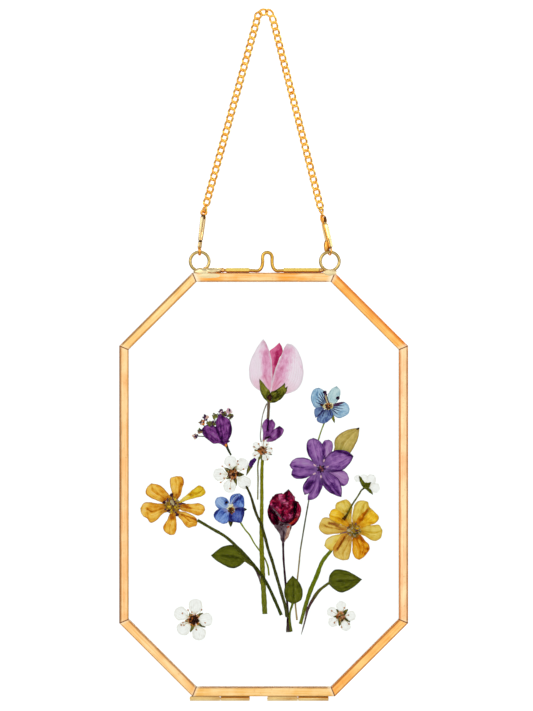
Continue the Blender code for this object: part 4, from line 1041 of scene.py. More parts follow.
petal_violet = petal_finish("violet petal", (152, 84, 158), (84, 26, 92), (40, 6, 46), 4.0, 0.6,
    throat=(150, 92, 140), throat_end=0.3, rim=(50, 8, 60), contrast=1.2)
y = LAYERS[0]
pressed("violet_floret", [
    (blade((262.4, 441.8, 263.2, 434, 262.4, 424.8, 264.6, 420.2, 268, 418.2),
        (266.8, 437.5, 270.2, 431, 271.6, 424), y, lean=-0.6), 0),
    (blade((263.6, 441.4, 266, 434.4, 268.6, 426, 269.4, 420.6, 272.2, 419),
        (270.4, 436, 273.6, 430, 275.2, 424.4), y - 0.00005, tone=0.45, lean=0.5), 0),
    (blade((266, 441.6, 269.6, 436, 272.8, 430.6, 276.8, 427.4), (272.4, 439.6, 277, 435.4, 279, 430.8),
        y - 0.00009, tone=0.6), 0),
    (blade((266.8, 441.9, 272.6, 438.4, 276.6, 432, 276.4, 428, 279.4, 425.8),
        (272.2, 441.4, 278.4, 438.2, 282, 434.6, 283.8, 429.8), y - 0.00012, tone=0.35), 0),
    (lens((266.6, 432), (268.8, 422), 1.1, y - 0.00016, tone=0.4), 1),
    (lens((264.4, 438.4), (270.4, 436.6), 1.6, y - 0.00017, tone=0.2), 2),
], [petal_violet, knob_purple, dark_brown], [
    (268, 421, 268, 431, 0.8, -0.9), (280, 428.5, 279, 434, 2.2, -0.25), (283, 428, 281.5, 434, 0.8, 0.5),
    (264.5, 424, 264, 436, 1, 0.4), (270.5, 424, 269.8, 433, 1, 0.3), (268, 437.4, 271, 437, 1.2, -0.4),
    (276.5, 429.5, 274, 436, 0.9, 0.5)])


# ---------------------------------------------------------------- small white flower
# Five round white petals with an orange-brown heart, a shut violet bud beside it and one thin stem below.
def rounds(centre, petals, y, finish=0, **looks):
    """Round petals about a flower's centre, each given as the middle and radius of its disc in pixels."""
    skins = []
    for count, (px, py, r) in enumerate(petals):
        middle, heart = np.array((px, py)), np.array(centre)
        out = (middle - heart) / np.linalg.norm(middle - heart)
        side = np.array((-out[1], out[0]))
        line = [(-1.05, 0.42), (-0.62, 0.82), (0.0, 1.02), (0.55, 0.86), (0.88, 0.50)]
        edges = [[middle + r * (s * out + turn * w * side) for s, w in line] for turn in (1, -1)]
        start = middle - out * min(1.45 * r, np.linalg.norm(middle - heart))
        looks = {"tone": 0.6, "ragged": 0.32} | looks
        disc_skin = blade([start, *edges[0], middle + r * out], edges[1], y - 0.00004 * (count % 3), **looks)
        skins.append((disc_skin, finish))
    return skins


def stamens(root, tips, y, finish, bead_finish, size=0.95, thread=0.45):
    """Each stamen is a thin bent thread from the flower's middle to a bead of pollen."""
    skins = []
    for count, tip in enumerate(tips):
        bent = 0.5 * (np.array(root) + tip) + (0.5 * math.sin(count * 2.4), 0.5 * math.cos(count * 1.7))
        skins.append((stalk([root, bent, tip], [thread, thread], y, 0.12, 2, 8), finish))
        pollen = bead(tip, y - 0.00005, (size, size * 0.8), count * 1.3, 0.5, 7, 10, 0.2, count)
        skins.append((pollen, bead_finish))
    return skins


def hearts(centre, radius, y, count, finishes, size=1.1, seed=0.0):
    """A heart of dried anthers: small rough beads on a sunflower spiral, whose finishes a sine mixes up."""
    skins = []
    for k in range(count):
        reach, turn = radius * math.sqrt((k + 0.5) / count), 2.4 * k + seed
        at = (centre[0] + reach * math.cos(turn), centre[1] + reach * math.sin(turn))
        half = size * (0.75 + 0.13 * (7 * k % 5))
        finish = finishes[int(50 + 50 * math.sin(7.3 * k * k + seed)) % len(finishes)]
        skins.append((bead(at, y - 0.00003 * (k % 4), (half, half * 0.7), turn, 0.5, 6, 9, 0.3, k), finish))
    return skins


petal_white = petal_finish("white petal", (254, 253, 251), (238, 235, 230), (210, 208, 196), 6.0, 0.4,
    throat=(214, 206, 176), throat_end=0.3, rim=(224, 221, 208))
heart_brown = petal_finish("orange-brown heart", (206, 128, 62), (116, 58, 24), (70, 30, 12), 5.0, 0.5)
sepal_olive = petal_finish("olive sepal", (130, 124, 56), (62, 56, 22), (40, 34, 16), 3.0, 0.5)
pollen_tan = petal_finish("tan pollen", (206, 152, 112), (158, 98, 62), (110, 64, 40), 3.0, 0.4)
thread_pale = petal_finish("pale thread", (214, 200, 160), (170, 150, 110), (140, 120, 90), 2.0, 0.2)
bud_violet = petal_finish("violet bud", (92, 44, 124), (40, 10, 66), (24, 4, 40), 4.0, 0.6)
stem_olive = stem_finish("thin olive stem", [(0.0, (120, 120, 56)), (1.0, (136, 128, 60))], (72, 66, 30))
y = LAYERS[0]
middle = (262.6, 450.4)
pressed("small_white_flower", [
    (lens(middle, (254, 450), 3.4, y + 0.0001, tone=0.35), 2),
    (lens(middle, (268.9, 446.7), 3.2, y + 0.0001), 2), (lens(middle, (272.1, 454.9), 3.4, y + 0.0001), 2),
    (lens(middle, (259.7, 459.6), 3.2, y + 0.0001), 2),
    *rounds(middle, [(265.4, 442.9, 3.7), (256.2, 445.7, 3.6), (269.2, 450.4, 3.6), (256, 454.9, 3.6),
        (265.8, 457.2, 3.7)], y),
    *hearts(middle, 4.3, y - 0.00014, 28, (1, 7, 1, 3, 7), 1.05, 1),
    *stamens(middle, [(254.9, 455.4), (266.9, 444.6), (269.8, 452.8), (258.6, 443.9), (263.8, 440.6),
        (271.4, 448.6), (267.6, 459.4), (254.2, 446.8)], y - 0.00016, 5, 3),
    (blade((246.2, 475.7, 246.9, 470.5, 248.4, 465.6, 251.6, 461.8),
        (248.3, 472.8, 250.9, 469, 252.9, 465.4), y, tone=0.25), 2),
    (blade((250, 467.5, 248.8, 464.6, 250.2, 460.9, 254.4, 457.7), (252.4, 466, 254.6, 462.6, 256.6, 459.6),
        y - 0.00008), 4),
    (stalk((259.8, 456, 258.5, 461, 258.1, 480, 257.8, 499.6), [1.7, 1.5, 1.4, 1.3], y + 0.00005, 0.2, 3,
        12), 6),
], [petal_white, heart_brown, sepal_olive, pollen_tan, bud_violet, thread_pale, stem_olive, dark_brown])


# ---------------------------------------------------------------- pale blue flower and its long stem
# Five papery blue petals round a cream eye with a brown heart: one is nearly white and two are a deeper blue,
# with navy rays. The thin yellow-green stem runs down behind the purple flower and turns tan at the foot.
petal_pale_blue = petal_finish("pale blue petal", (182, 210, 228), (120, 162, 196), (74, 104, 150), 6.0,
    0.6, throat=(74, 74, 110), throat_end=0.40, rim=(84, 122, 164))
petal_aqua = petal_finish("aqua petal", (206, 226, 228), (164, 196, 204), (130, 164, 176), 6.0, 0.5,
    throat=(120, 130, 124), throat_end=0.2, rim=(112, 140, 150))
petal_deep_blue = petal_finish("deeper blue petal", (136, 162, 200), (68, 90, 148), (38, 42, 90), 6.0, 0.7,
    throat=(50, 40, 74), throat_end=0.5, rim=(54, 70, 134))
ray_navy = petal_finish("navy ray", (70, 72, 122), (34, 30, 70), (24, 20, 50), 1.0, 0.3)
cream_ring = petal_finish("cream ring", (236, 228, 184), (176, 158, 92), (120, 98, 50), 4.0, 0.5)
y = LAYERS[1]
pressed("pale_blue_flower", [
    (lens((331, 412), (334.7, 423), 3, y + 0.0001, tone=0.6), 5),
    (blade((327.5, 404.5, 327.3, 398.5, 328.7, 393.3, 331.6, 389.1, 336.6, 386.2),
        (331, 403, 334.8, 403.4, 337.9, 400.3, 339.8, 395.8, 339.9, 390.1), y + 0.00006), 1),
    (blade((324.6, 406.4, 318.6, 408.7, 314.3, 406.9, 311.9, 402.3, 311, 396.8, 312.2, 392, 315, 388.8,
        319.3, 387.9), (326.6, 403, 326, 397, 324.9, 392, 322.4, 389.6), y, crease=(0.45, 0.03)), 0),
    (blade((329.4, 407.6, 332, 404.7, 336, 403.3, 341, 402, 345.2, 402.6, 348.3, 405.3, 349.6, 409.1),
        (331.6, 411.8, 334.3, 415.8, 338.6, 417.9, 344.3, 416.3, 348.5, 413.1), y - 0.00002, tone=0.6), 0),
    (blade((326.2, 408.4, 321.4, 411.9, 317.6, 416.5, 316.9, 420.3, 319.2, 422.5, 323.2, 423.6),
        (331.2, 410.2, 332.9, 414.9, 330.2, 419.4, 326.6, 422.4), y - 0.00006, tone=0.4), 2),
    (blade((325, 407.2, 319.4, 407.4, 314.9, 409, 314.3, 413.2, 315.7, 417.9), (323.2, 410.3, 320.2, 414.2),
        y - 0.00009, tone=0.35), 2),
    *[(lens(root, tip, width, y - 0.00013, tone=0.3), 8) for root, tip, width in [
        ((324.6, 403.4), (316.2, 394.6), 0.8), ((324.2, 404.2), (315.6, 398.6), 0.8),
        ((324.4, 404.8), (315.8, 402.4), 0.8), ((325, 402.6), (318.4, 392.8), 0.7),
        ((325.6, 401.8), (321.2, 392.4), 0.7), ((323.4, 408.2), (316, 412.6), 0.9),
        ((324, 409.2), (317.2, 417), 1.9), ((325.4, 410), (320.8, 418.8), 0.8),
        ((326.6, 410.2), (324, 419.4), 0.8), ((328, 410), (327.6, 418.8), 0.8),
        ((329.4, 409.8), (331, 416), 0.7), ((332, 407.4), (343.4, 408.6), 0.8),
        ((332, 408.4), (342, 411.8), 0.8), ((331.6, 409.4), (338.6, 414.8), 0.8),
        ((332.2, 406.4), (344.4, 405.4), 0.8)]],
    (lens((331.4, 405.4), (344.4, 401.9), 2.6, y - 0.00015, bow=0.4, tone=0.7), 3),
    (lens((323.4, 405.6), (320, 404.6), 2.4, y - 0.00015, tone=0.4), 7),
    (stalk((325.4, 393.6, 325.9, 397.8, 327.4, 403.4), [2.6, 2.2, 2.6], y - 0.00014, 0.22, 3, 12), 6),
    (stalk((324.4, 393.6, 325, 398.4, 326.4, 403), [0.7, 0.7, 0.9], y - 0.00022, 0.14, 2, 8), 3),
    (stalk((326.7, 394.4, 327.2, 398.4, 328.8, 402.8), [0.6, 0.7, 0.9], y - 0.00022, 0.14, 2, 8), 3),
    (bead((324.7, 392.4), y - 0.00018, (1.9, 1.7), 0.2, 0.2, lumps=0.25), 3),
    (bead((326, 394.6), y - 0.00018, (1.3, 1.2), 0.2, 0.5, lumps=0.25), 3),
    (bead((337.8, 398.1), y - 0.00014, (1.9, 1.7), 0.3, 0.05, lumps=0.2), 3),
    (bead((328.2, 406.2), y - 0.00014, (5.4, 3.5), 0.15, 0.5, 12, 24, 0.16, 0.5, 0.14), 4),
    *hearts((328.6, 406), 3, y - 0.00022, 20, (7, 7, 7, 9), 1, 0.4),
], [petal_pale_blue, petal_aqua, petal_deep_blue, knob_purple, cream_ring, calyx_green, thread_pale,
    dark_brown, ray_navy, heart_brown])

thin_green = stem_finish("thin yellow-green stem", [(0.0, (142, 156, 60)), (0.38, (140, 148, 60)),
    (0.44, (70, 76, 66)), (0.60, (96, 96, 80)), (0.72, (148, 128, 84)), (1.0, (184, 154, 104))],
    (100, 94, 60), 160.0)
pressed("pale_blue_stem", [
    (stalk((327.2, 417, 324, 423.9, 318.4, 440.2, 313.6, 470, 309, 499.6, 305.4, 520, 302.8, 535.8,
        300.5, 550, 299, 565, 297.4, 580, 295.5, 603.5, 297.1, 620.3), [1.5, 1.3, 1.3, 1.5, 1.5, 1.6, 1.8],
        LAYERS[3], 0.2, 3, 12), 0),
], [thin_green])


# ---------------------------------------------------------------- olive leaf
# One broad leaf gone olive-yellow, green at its foot and with a dark dry tip, half hidden by the purple
# flower.
leaf_olive = petal_finish("olive yellow leaf", (208, 184, 106), (172, 146, 66), (140, 112, 52), 5.0, 0.4,
    throat=(112, 126, 44), throat_end=0.46, rim=(132, 98, 40), contrast=0.6)
y = LAYERS[2]
pressed("olive_leaf", [
    (blade((338, 459, 334.6, 455, 333.9, 450.8, 334.7, 447, 334.3, 442.6, 335.9, 438.1, 340, 434,
        345, 430.9, 350.2, 429.2, 359.4, 427.9),
        (345.5, 457.6, 350.5, 452.4, 354.4, 446.3, 357.3, 440.2, 359, 432.9), y, crease=(0.46, -0.02)), 0),
    (lens((356.6, 429.4), (359.6, 427.7), 1.5, y - 0.00013, tone=0.2), 1),
], [leaf_olive, dark_brown])


# ---------------------------------------------------------------- purple flower
# Nine long petals spread round a small dark star: seven purple ones, pressed over one another and mostly
# creased along their middle, and two paler ones behind.
def sepals(base, tips, width, y, finish, **looks):
    """Narrow blades of one width and finish from one base to several tips."""
    return [(lens(base, tip, width, y, **looks), finish) for tip in tips]


petal_purple = petal_finish("purple petal", (160, 108, 176), (94, 46, 120), (54, 16, 74), 8.0, 0.4,
    throat=(124, 88, 146), throat_end=0.4, rim=(48, 12, 64), contrast=0.85)
petal_lilac = petal_finish("lilac petal", (170, 122, 180), (126, 74, 144), (82, 40, 104), 6.0, 0.4,
    rim=(64, 24, 84), contrast=0.8)
rust_heart = petal_finish("rust red heart", (168, 92, 88), (96, 40, 46), (60, 20, 30), 2.0, 0.3)
light_pink = petal_finish("pinkish fleck", (232, 194, 206), (196, 140, 164), (180, 110, 130), 2.0, 0.3)
y = LAYERS[1]
pressed("purple_flower", [
    (blade((323.4, 465, 320, 457.5, 320.2, 450, 322.2, 443.8, 324.9, 440.4, 329, 439.7),
        (326.4, 458.6, 331.7, 451.9, 332.7, 445.4, 331.9, 441.6), y + 0.00013, tone=0.65), 1),
    (blade((328, 471, 334, 470, 339.5, 469.8, 343.6, 470.7, 347.2, 473.8, 349.1, 478.6),
        (331.3, 475, 337.5, 479.6, 340.8, 485.6, 343.9, 485.9, 347.5, 483.3), y + 0.00012, tone=0.6), 1),
    (blade((320.9, 468, 315.2, 464.5, 311.1, 459.3, 308.4, 454.9, 306.4, 446.9, 308.5, 440.1, 313.3, 437.9),
        (324.8, 460.5, 325.2, 454.5, 324.6, 448.8, 321.4, 443.1, 317.9, 439.7), y + 0.00003, tone=0.5,
        crease=(0.5, -0.04)), 0),
    (blade((317.8, 471.8, 317.6, 477.2, 316.2, 483.8, 312.9, 490.1, 308.4, 493.6, 304.6, 494.9),
        (310.5, 475.9, 305.3, 481.4, 303.3, 485.2, 303, 490.3), y - 0.00002, tone=0.45), 0),
    (blade((320.4, 469.2, 315.4, 464.4, 311.6, 460.4, 307.6, 458.6, 302.4, 457.6, 296.7, 458, 292, 461,
        289.4, 465.1), (313.5, 470, 303.5, 471.6, 296.5, 470.6, 292.2, 469.2), y - 0.00006, tone=0.62,
        crease=(0.3, -0.05)), 0),
    (blade((320, 470.4, 309, 467.2, 299, 467.4, 292.5, 469.8, 291.2, 474.8), (315.4, 472.6, 308.7, 476.7,
        304.5, 478.2, 300.3, 478.9, 294.1, 477.7), y - 0.0001, tone=0.5), 0),
    (blade((321.9, 468.4, 323.6, 461, 326.4, 456.7, 331, 452.3, 336.1, 450.2, 342.2, 450, 348, 451.7,
        353.5, 456), (325, 471.4, 330, 472.2, 336.2, 471.8, 342.9, 470, 348, 465.3, 351.6, 460.6),
        y - 0.00003, tone=0.5, crease=(0.42, -0.05)), 0),
    (blade((321.9, 469.8, 328.4, 472.2, 334.3, 475.8, 338.9, 479.5, 340.9, 484.6, 341.8, 491.2, 341.4, 497),
        (321.5, 478.9, 322.1, 483.2, 324.2, 487.3, 328.4, 491.5, 334.1, 494.6, 338.8, 496.5), y - 0.0001,
        tone=0.42, crease=(0.55, -0.05)), 0),
    (blade((320.6, 470.8, 322, 479, 322.6, 486.1, 320.5, 491.3, 317.3, 496.5, 313.2, 499.4, 307.7, 500.1),
        (315.6, 478.3, 314.8, 484.2, 312, 490.3, 308, 495.7), y - 0.00014, tone=0.45, crease=(0.5, -0.03)),
        0),
    *sepals((321.3, 468.8), [(316.6, 467.2), (319.4, 464.6), (324.4, 465.2), (326.4, 469), (323.8, 472.6),
        (320.2, 473.4), (316.8, 471)], 1.7, y - 0.00018, 3, tone=0.2),
    *[(bead(at, y - 0.00016, half, tilt, 0.6, lumps=0.2), 2) for at, half, tilt in [
        ((314.7, 465.2), (1.7, 0.8), -0.6), ((323.9, 460.6), (0.8, 1.5), -0.3),
        ((314.2, 473.7), (1.6, 0.8), 0.5), ((320.8, 476.7), (0.8, 1.6), 0.1),
        ((327.4, 466.8), (1.5, 0.6), 0.4)]],
    (bead((320, 473), y + 0.00008, (5, 4.5), 0, 0.4), 0),
    *hearts((321.3, 468.8), 2.4, y - 0.0002, 12, (3, 3, 4), 0.9, 3),
], [petal_purple, petal_lilac, light_pink, knob_purple, rust_heart], [
    (311.7, 440.7, 316.5, 456, 1.5, 0.5), (324.4, 443, 323.8, 461, 1.3, -1.1),
    (307, 446, 311, 462, 1.1, -0.6), (293.7, 459.7, 310, 463, 2, 0.8), (294, 466.6, 314, 469.6, 1, -0.6),
    (292, 475, 306, 478, 1.2, -0.9), (312, 482, 306, 488.5, 2.2, -1), (305.4, 491, 307, 494, 1.5, 0.8),
    (313, 496, 318, 484, 1.4, 0.4), (319, 492, 321.5, 480, 1.4, -0.6), (322.6, 480, 334, 494, 1.2, -1),
    (336, 472.6, 346, 477.5, 1.6, 0.5), (328, 470.4, 342, 471, 1.2, -0.9),
    (338, 450.6, 352.4, 455.6, 1.4, -1), (330, 462, 344, 456.5, 1.6, 0.4), (341.3, 492, 336, 480, 1, 0.5),
    (326.4, 447, 327.4, 456, 1.4, 0.7), (333, 484, 338, 492, 2, -0.4), (341, 483, 343.4, 485.5, 1, -0.8),
    (303.4, 484, 306.4, 480, 0.9, -0.8), (309, 468.5, 300, 468, 1.2, 0.3)])


# ---------------------------------------------------------------- dark purple cluster
# Two folded dark purple petals on a black-green stub, with a spray of small pink, green and brown buds.
petal_dark_purple = petal_finish("dark purple petal", (140, 68, 146), (70, 20, 82), (42, 8, 54), 6.0, 0.65,
    rim=(50, 12, 62), contrast=1.2)
bud_blush = petal_finish("blush bud", (238, 206, 190), (180, 124, 108), (120, 74, 62), 3.0, 0.4)
bud_brown = petal_finish("brown bud", (172, 134, 92), (92, 66, 40), (60, 40, 24), 3.0, 0.4)
bud_green = petal_finish("green bud", (138, 158, 74), (70, 88, 34), (46, 56, 24), 3.0, 0.4)
rust_spot = petal_finish("rust spot", (232, 142, 62), (180, 84, 30), (120, 50, 20), 2.0, 0.3)
stub_dark = stem_finish("black-green stub", [(0.0, (40, 30, 34)), (1.0, (66, 74, 44))], (28, 24, 24))
y = LAYERS[2]
pressed("purple_cluster", [
    (blade((226.6, 447.6, 218.8, 443.4, 214.1, 443.6, 209.1, 440.6, 204.4, 436.5, 202.2, 432.6,
        201.9, 428.9), (222.6, 437.6, 219.6, 431, 216.1, 427, 212.4, 425.7, 208.3, 424.3, 204.5, 426.2), y,
        tone=0.5, crease=(0.38, 0.05)), 0),
    (blade((226.4, 446.4, 219.6, 440.4, 216.5, 433, 216, 426.4, 216.2, 420.1, 218.6, 415.4, 220.8, 410.8),
        (228.3, 440.4, 230.8, 435.9, 231.9, 431.8, 231.3, 425.1, 229.4, 419.3, 224, 416.2), y - 0.00008,
        tone=0.4, crease=(0.3, 0.05)), 0),
    (bead((226.6, 441.6), y - 0.00016, (3.2, 1.3), 0.1, 0.1, lumps=0.2), 0),
    (bead((226, 445.2), y - 0.00018, (1.3, 1.8), 0, 0.5, lumps=0.2), 4),
    (stalk((225.9, 443.5, 227.5, 448, 231.1, 455.2), [3, 2.2, 1.9], y - 0.0001, 0.3, 3, 12), 5),
    *[(stalk([root, tip], [1, 0.8], y + 0.0001, 0.15, 2, 8), 5) for root, tip in [
        ((205.6, 418.5), (209.8, 426.4)), ((201.6, 423.2), (206.8, 428.6)), ((199.8, 431), (206, 432.6)),
        ((195.4, 436), (206.4, 436.6)), ((214.1, 417.5), (216.8, 427)), ((209.6, 424), (213.6, 429.6)),
        ((229, 413.5), (225, 420.6)), ((230.4, 417.6), (226.4, 423)), ((217.7, 413.4), (219, 419)),
        ((223.4, 412.2), (222.2, 419.6))]],
    *[bud for count, (at, reach, finishes) in enumerate([((229.2, 411.2), 2.7, (8, 8, 6, 1)),
        ((230.8, 416.4), 2.2, (7, 6, 7)), ((220.8, 411.6), 1.9, (6, 6, 8)), ((214.6, 416), 2.6, (7, 7, 3)),
        ((209.6, 423.2), 2.2, (7, 3, 7)), ((213.4, 423.6), 2.2, (7, 7, 6)),
        ((205.6, 417.8), 2.6, (6, 1, 6, 8)), ((201.8, 422.6), 2.5, (4, 6, 1, 2)),
        ((199.8, 430.8), 2.2, (2, 6, 3)), ((195.4, 436), 2.3, (6, 1, 6)), ((224.8, 414.2), 2.2, (6, 7, 6))])
        for bud in hearts(at, reach, y - 0.00012, 10, finishes, 1.2, 1.3 * count)],
], [petal_dark_purple, bud_blush, bud_brown, bud_green, rust_spot, stub_dark, knob_purple, sepal_olive,
    light_pink], [
    (219, 420, 220.5, 436, 1.6, 0.35), (226, 420, 227.5, 436, 2, 0.25), (230.5, 424, 229.5, 437, 1, -0.5),
    (208, 428, 216, 438, 2, 0.35), (203, 430, 208, 438, 1.2, -0.5), (216.5, 428, 222, 442, 1, -0.9),
    (222, 413, 228, 417, 1.6, -0.4)])


# ---------------------------------------------------------------- middle white flower and its dark stem
# Five round white petals about an orange-brown heart, thin stamens lying across them, and a dark olive stem
# that lies in front of the thick one.
y = LAYERS[1]
middle = (232.9, 474.0)
pressed("middle_white_flower", [
    *sepals(middle, [(224.3, 467.7), (244.3, 474.8), (236.4, 485.7), (226.3, 478.9), (236.6, 465.4)], 4.6,
        y + 0.00012, 2, tone=0.45),
    *rounds(middle, [(230.4, 461.5, 5.7), (242.4, 464.1, 5.7), (244.7, 482.8, 6.2), (229.7, 486.4, 6.1),
        (219.3, 474.5, 5.9)], y),
    *hearts(middle, 5.2, y - 0.00014, 40, (1, 5, 1, 5, 3), 1.1, 0.4),
    (bead((233.3, 474.4), y - 0.00024, (1.9, 1.6), 0.3, 0.05, 10, 16, 0.3), 5),
    *stamens(middle, [(237.5, 461), (229.5, 464.8), (222.4, 466.2), (220.4, 473.9), (224.1, 478.3),
        (220.7, 482.4), (230.8, 481), (230.1, 488.6), (243.5, 469.1), (238.3, 464.2)], y - 0.00016, 4, 3),
], [petal_white, heart_brown, sepal_olive, pollen_tan, thread_pale, dark_brown])

stem_dark = stem_finish("dark olive stem", [(0.0, (72, 66, 28)), (0.5, (66, 66, 22)), (1.0, (76, 78, 38))],
    (36, 38, 16), 140.0)
pressed("middle_white_stem", [
    (stalk((246.2, 486, 248.6, 490.6, 257.6, 516.6, 260.9, 523.4, 264.8, 535.8, 268.4, 549.6, 272.3, 561,
        274.4, 568.6, 277.9, 580.5, 282.1, 595, 286.3, 610.7, 287, 617), [2, 2.8, 2.8, 3, 3.1, 3.2, 3.3],
        LAYERS[0], 0.34, 5), 0),
], [stem_dark])


# ---------------------------------------------------------------- white bud on its stem
# A half-open white flower seen from the side, with a dark green bud beside it, on a thin bent stem.
leaf_dark = petal_finish("dark green leaf", (102, 106, 26), (58, 62, 9), (44, 46, 8), 5.0, 0.3,
    throat=(72, 74, 20), throat_end=0.25, rim=(50, 54, 12), contrast=0.7)
stem_bud = stem_finish("thin brown-tipped stem", [(0.0, (70, 72, 26)), (0.3, (104, 104, 22)),
    (0.75, (98, 88, 20)), (0.92, (64, 30, 8)), (1.0, (96, 50, 14))], (60, 50, 12), 90.0)
y = LAYERS[0]
pressed("white_bud", [
    *rounds((366.5, 485), [(370.9, 479.4, 4.9), (374.9, 487.9, 4.7), (363.6, 478.6, 4.1),
        (357.4, 478.2, 3.2)], y + 0.00004),
    (lens((364.8, 488.2), (359, 476), 4.6, y - 0.0001, bow=0.6, tone=0.4), 1),
    (lens((365, 487), (372.9, 494.6), 3.2, y - 0.00008, bow=-0.6, tone=0.5), 1),
    (lens((364.4, 487), (371.2, 482.2), 3.4, y - 0.0001, tone=0.45), 1),
    (bead((366.3, 486), y - 0.00014, (3.5, 2.9), 0.3, 0.4, 12, 18, 0.28, 1.5, 0.2), 1),
    (stalk((365, 487.6, 361.5, 490.2, 359.4, 493.7, 351.8, 505.3, 345.7, 516.5, 343.1, 519.8),
        [1.6, 1.7, 1.7, 1.8, 2.1, 3.4], y - 0.00004, 0.26, 3, 14), 2),
], [petal_white, leaf_dark, stem_bud])


# ---------------------------------------------------------------- left yellow flower and its stem
# Seven thick yellow petals going brown along their veins, round a beige heart, with purple-brown sepal tips
# between them. Its dark green stem comes out from behind the lower right petal and crosses the thick stem.
petal_yellow = petal_finish("yellow petal", (246, 196, 80), (218, 142, 28), (168, 84, 10), 9.0, 0.3,
    throat=(150, 80, 18), throat_end=0.42, rim=(180, 112, 20))
petal_bright = petal_finish("bright yellow petal", (240, 208, 60), (206, 152, 14), (160, 92, 8), 7.0, 0.35,
    throat=(190, 150, 30), throat_end=0.3, rim=(186, 132, 12))
sepal_purple = petal_finish("purple-brown sepal", (120, 78, 84), (70, 34, 44), (46, 20, 28), 3.0, 0.4)
heart_olive = petal_finish("olive brown heart", (186, 144, 44), (112, 74, 22), (60, 34, 14), 4.0, 0.5)
heart_beige = petal_finish("grey-beige heart", (190, 174, 134), (124, 102, 64), (74, 50, 30), 5.0, 0.6)
y = LAYERS[1]
pressed("left_yellow_flower", [
    *sepals((173.5, 505), [(170.9, 493.2), (187, 504.4), (177.6, 516.2), (162.8, 512.8), (161.3, 501.8)], 5,
        y + 0.00016, 2, tone=0.5),
    (blade((174.6, 504.2, 173, 496, 171.6, 490.5, 170.1, 484.5, 170.6, 478.2, 176, 476.1),
        (177.8, 499.4, 180.3, 495.5, 182.3, 488, 183.9, 482.5, 181.8, 476.8), y + 0.00006,
        crease=(0.45, -0.05)), 0),
    (blade((176.5, 503.8, 181.5, 499.2, 187.5, 494.2, 194, 488.8, 199.3, 485.4, 203.3, 487.1),
        (182.5, 502, 188.5, 499.8, 195, 497.9, 202.5, 495.8, 205.5, 492.6), y + 0.00002,
        crease=(0.6, -0.04)), 1),
    (blade((176.6, 506.2, 182, 504.5, 186.4, 503.9, 192.3, 503.8, 199.9, 503.6, 204.4, 506.6, 205, 510),
        (182, 510.5, 186.4, 511.8, 192.3, 513.4, 198.3, 515.6, 202.3, 514.1), y - 0.00004,
        crease=(0.5, -0.05)), 0),
    (blade((176.2, 508.2, 180.4, 511.4, 184.4, 511.8, 191.3, 514.8, 196.8, 519, 197.5, 522.4),
        (178.4, 516.8, 181.8, 520.6, 185.6, 525.6, 189.1, 527.9, 192.4, 526.7, 196.2, 525.8), y, tone=0.45,
        crease=(0.5, -0.05)), 0),
    (blade((173.8, 508.4, 169.6, 514.4, 167.3, 519.9, 164.5, 524.2, 163.2, 528.2, 164.6, 531.4, 170, 535),
        (175.9, 514.2, 176.2, 519, 176.5, 524.2, 176.3, 530.3, 173.7, 534.6), y - 0.00006,
        crease=(0.5, -0.05)), 0),
    (blade((170.8, 506.8, 163.6, 503.7, 157.1, 503.5, 150.1, 502.2, 143.7, 503.2, 140.5, 508),
        (167.6, 511.4, 164.7, 512.4, 160.9, 515.4, 156, 520.7, 150.5, 522.7, 147.1, 518.2, 144.2, 516.8,
        141.1, 512.9), y + 0.00002, tone=0.55, crease=(0.45, -0.05)), 0),
    (blade((171, 503.8, 163.5, 502.9, 158.2, 500.8, 150.1, 497.4, 145.8, 493, 147.1, 487.4, 151.5, 483.3),
        (170.6, 497.3, 165.6, 490.6, 160.5, 485.6), y - 0.00002, tone=0.55, crease=(0.5, -0.05)), 0),
    (bead((172.6, 505.8), y + 0.00008, (8, 8), 0, 0.3), 4),
    *hearts((172, 505.4), 7.8, y - 0.00013, 64, (4, 4, 2, 4, 3, 4, 1, 4), 1.25, 0.7),
    # A painted highlight: a grey-white streak across the heart, drawn as a light bead of the beige heart's
    # finish
    (bead((172.4, 502.6), y - 0.00024, (3, 1.5), -1, 1.1, 12, 18, 0.3, 2), 3),
    *[(bead(at, y - 0.00022, (1.8, 1.3), 0.5, 0, lumps=0.3), 2)
        for at in [(177.2, 515), (169.2, 510), (171.5, 494.6), (164.5, 502)]],
    (stalk((173.4, 499.9, 175.6, 502.4, 177.4, 505.4), [0.7, 1.5, 0.7], y - 0.00024, 0.16, 2, 8), 2),
], [petal_yellow, petal_bright, sepal_purple, heart_beige, heart_olive], [
    (173.5, 479, 174.5, 488, 3, 0.45), (182.4, 480.8, 178.8, 494.2, 1.6, -0.45),
    (183, 478, 183.5, 484, 0.8, -1), (160, 489.7, 166, 497, 3.5, -0.35), (148.3, 488, 152, 494, 2, 0.35),
    (150, 485, 158, 488, 1.2, 0.3), (165, 500.5, 168, 502, 2.5, -0.8), (146, 504, 142.5, 514, 2.6, 0.8),
    (146.5, 507, 148.5, 521, 1, -0.5), (150, 509, 163, 507, 3.5, -0.3), (152, 518, 158, 513, 2.5, 0.2),
    (171.7, 515, 172.2, 517.5, 2.5, -0.9), (170, 523, 169, 529, 3, 0.25), (176, 521, 175, 531, 0.9, -0.35),
    (164.8, 524, 164.2, 530, 0.9, -0.3), (182, 514.5, 196, 519.5, 0.9, -1.3),
    (181, 512.6, 193, 517, 1, 0.35), (184, 505, 189, 508, 2, -0.8), (190, 505, 203, 507.5, 1.4, 0.4),
    (190, 511, 203, 513.5, 1, -0.4), (193, 508, 200, 509.5, 1.6, 0.3), (181, 500.5, 188, 496.5, 1.3, 1.1),
    (189.6, 495.2, 190.6, 494.8, 1.6, -0.6), (176.5, 495, 178, 499, 1.2, -0.6)])

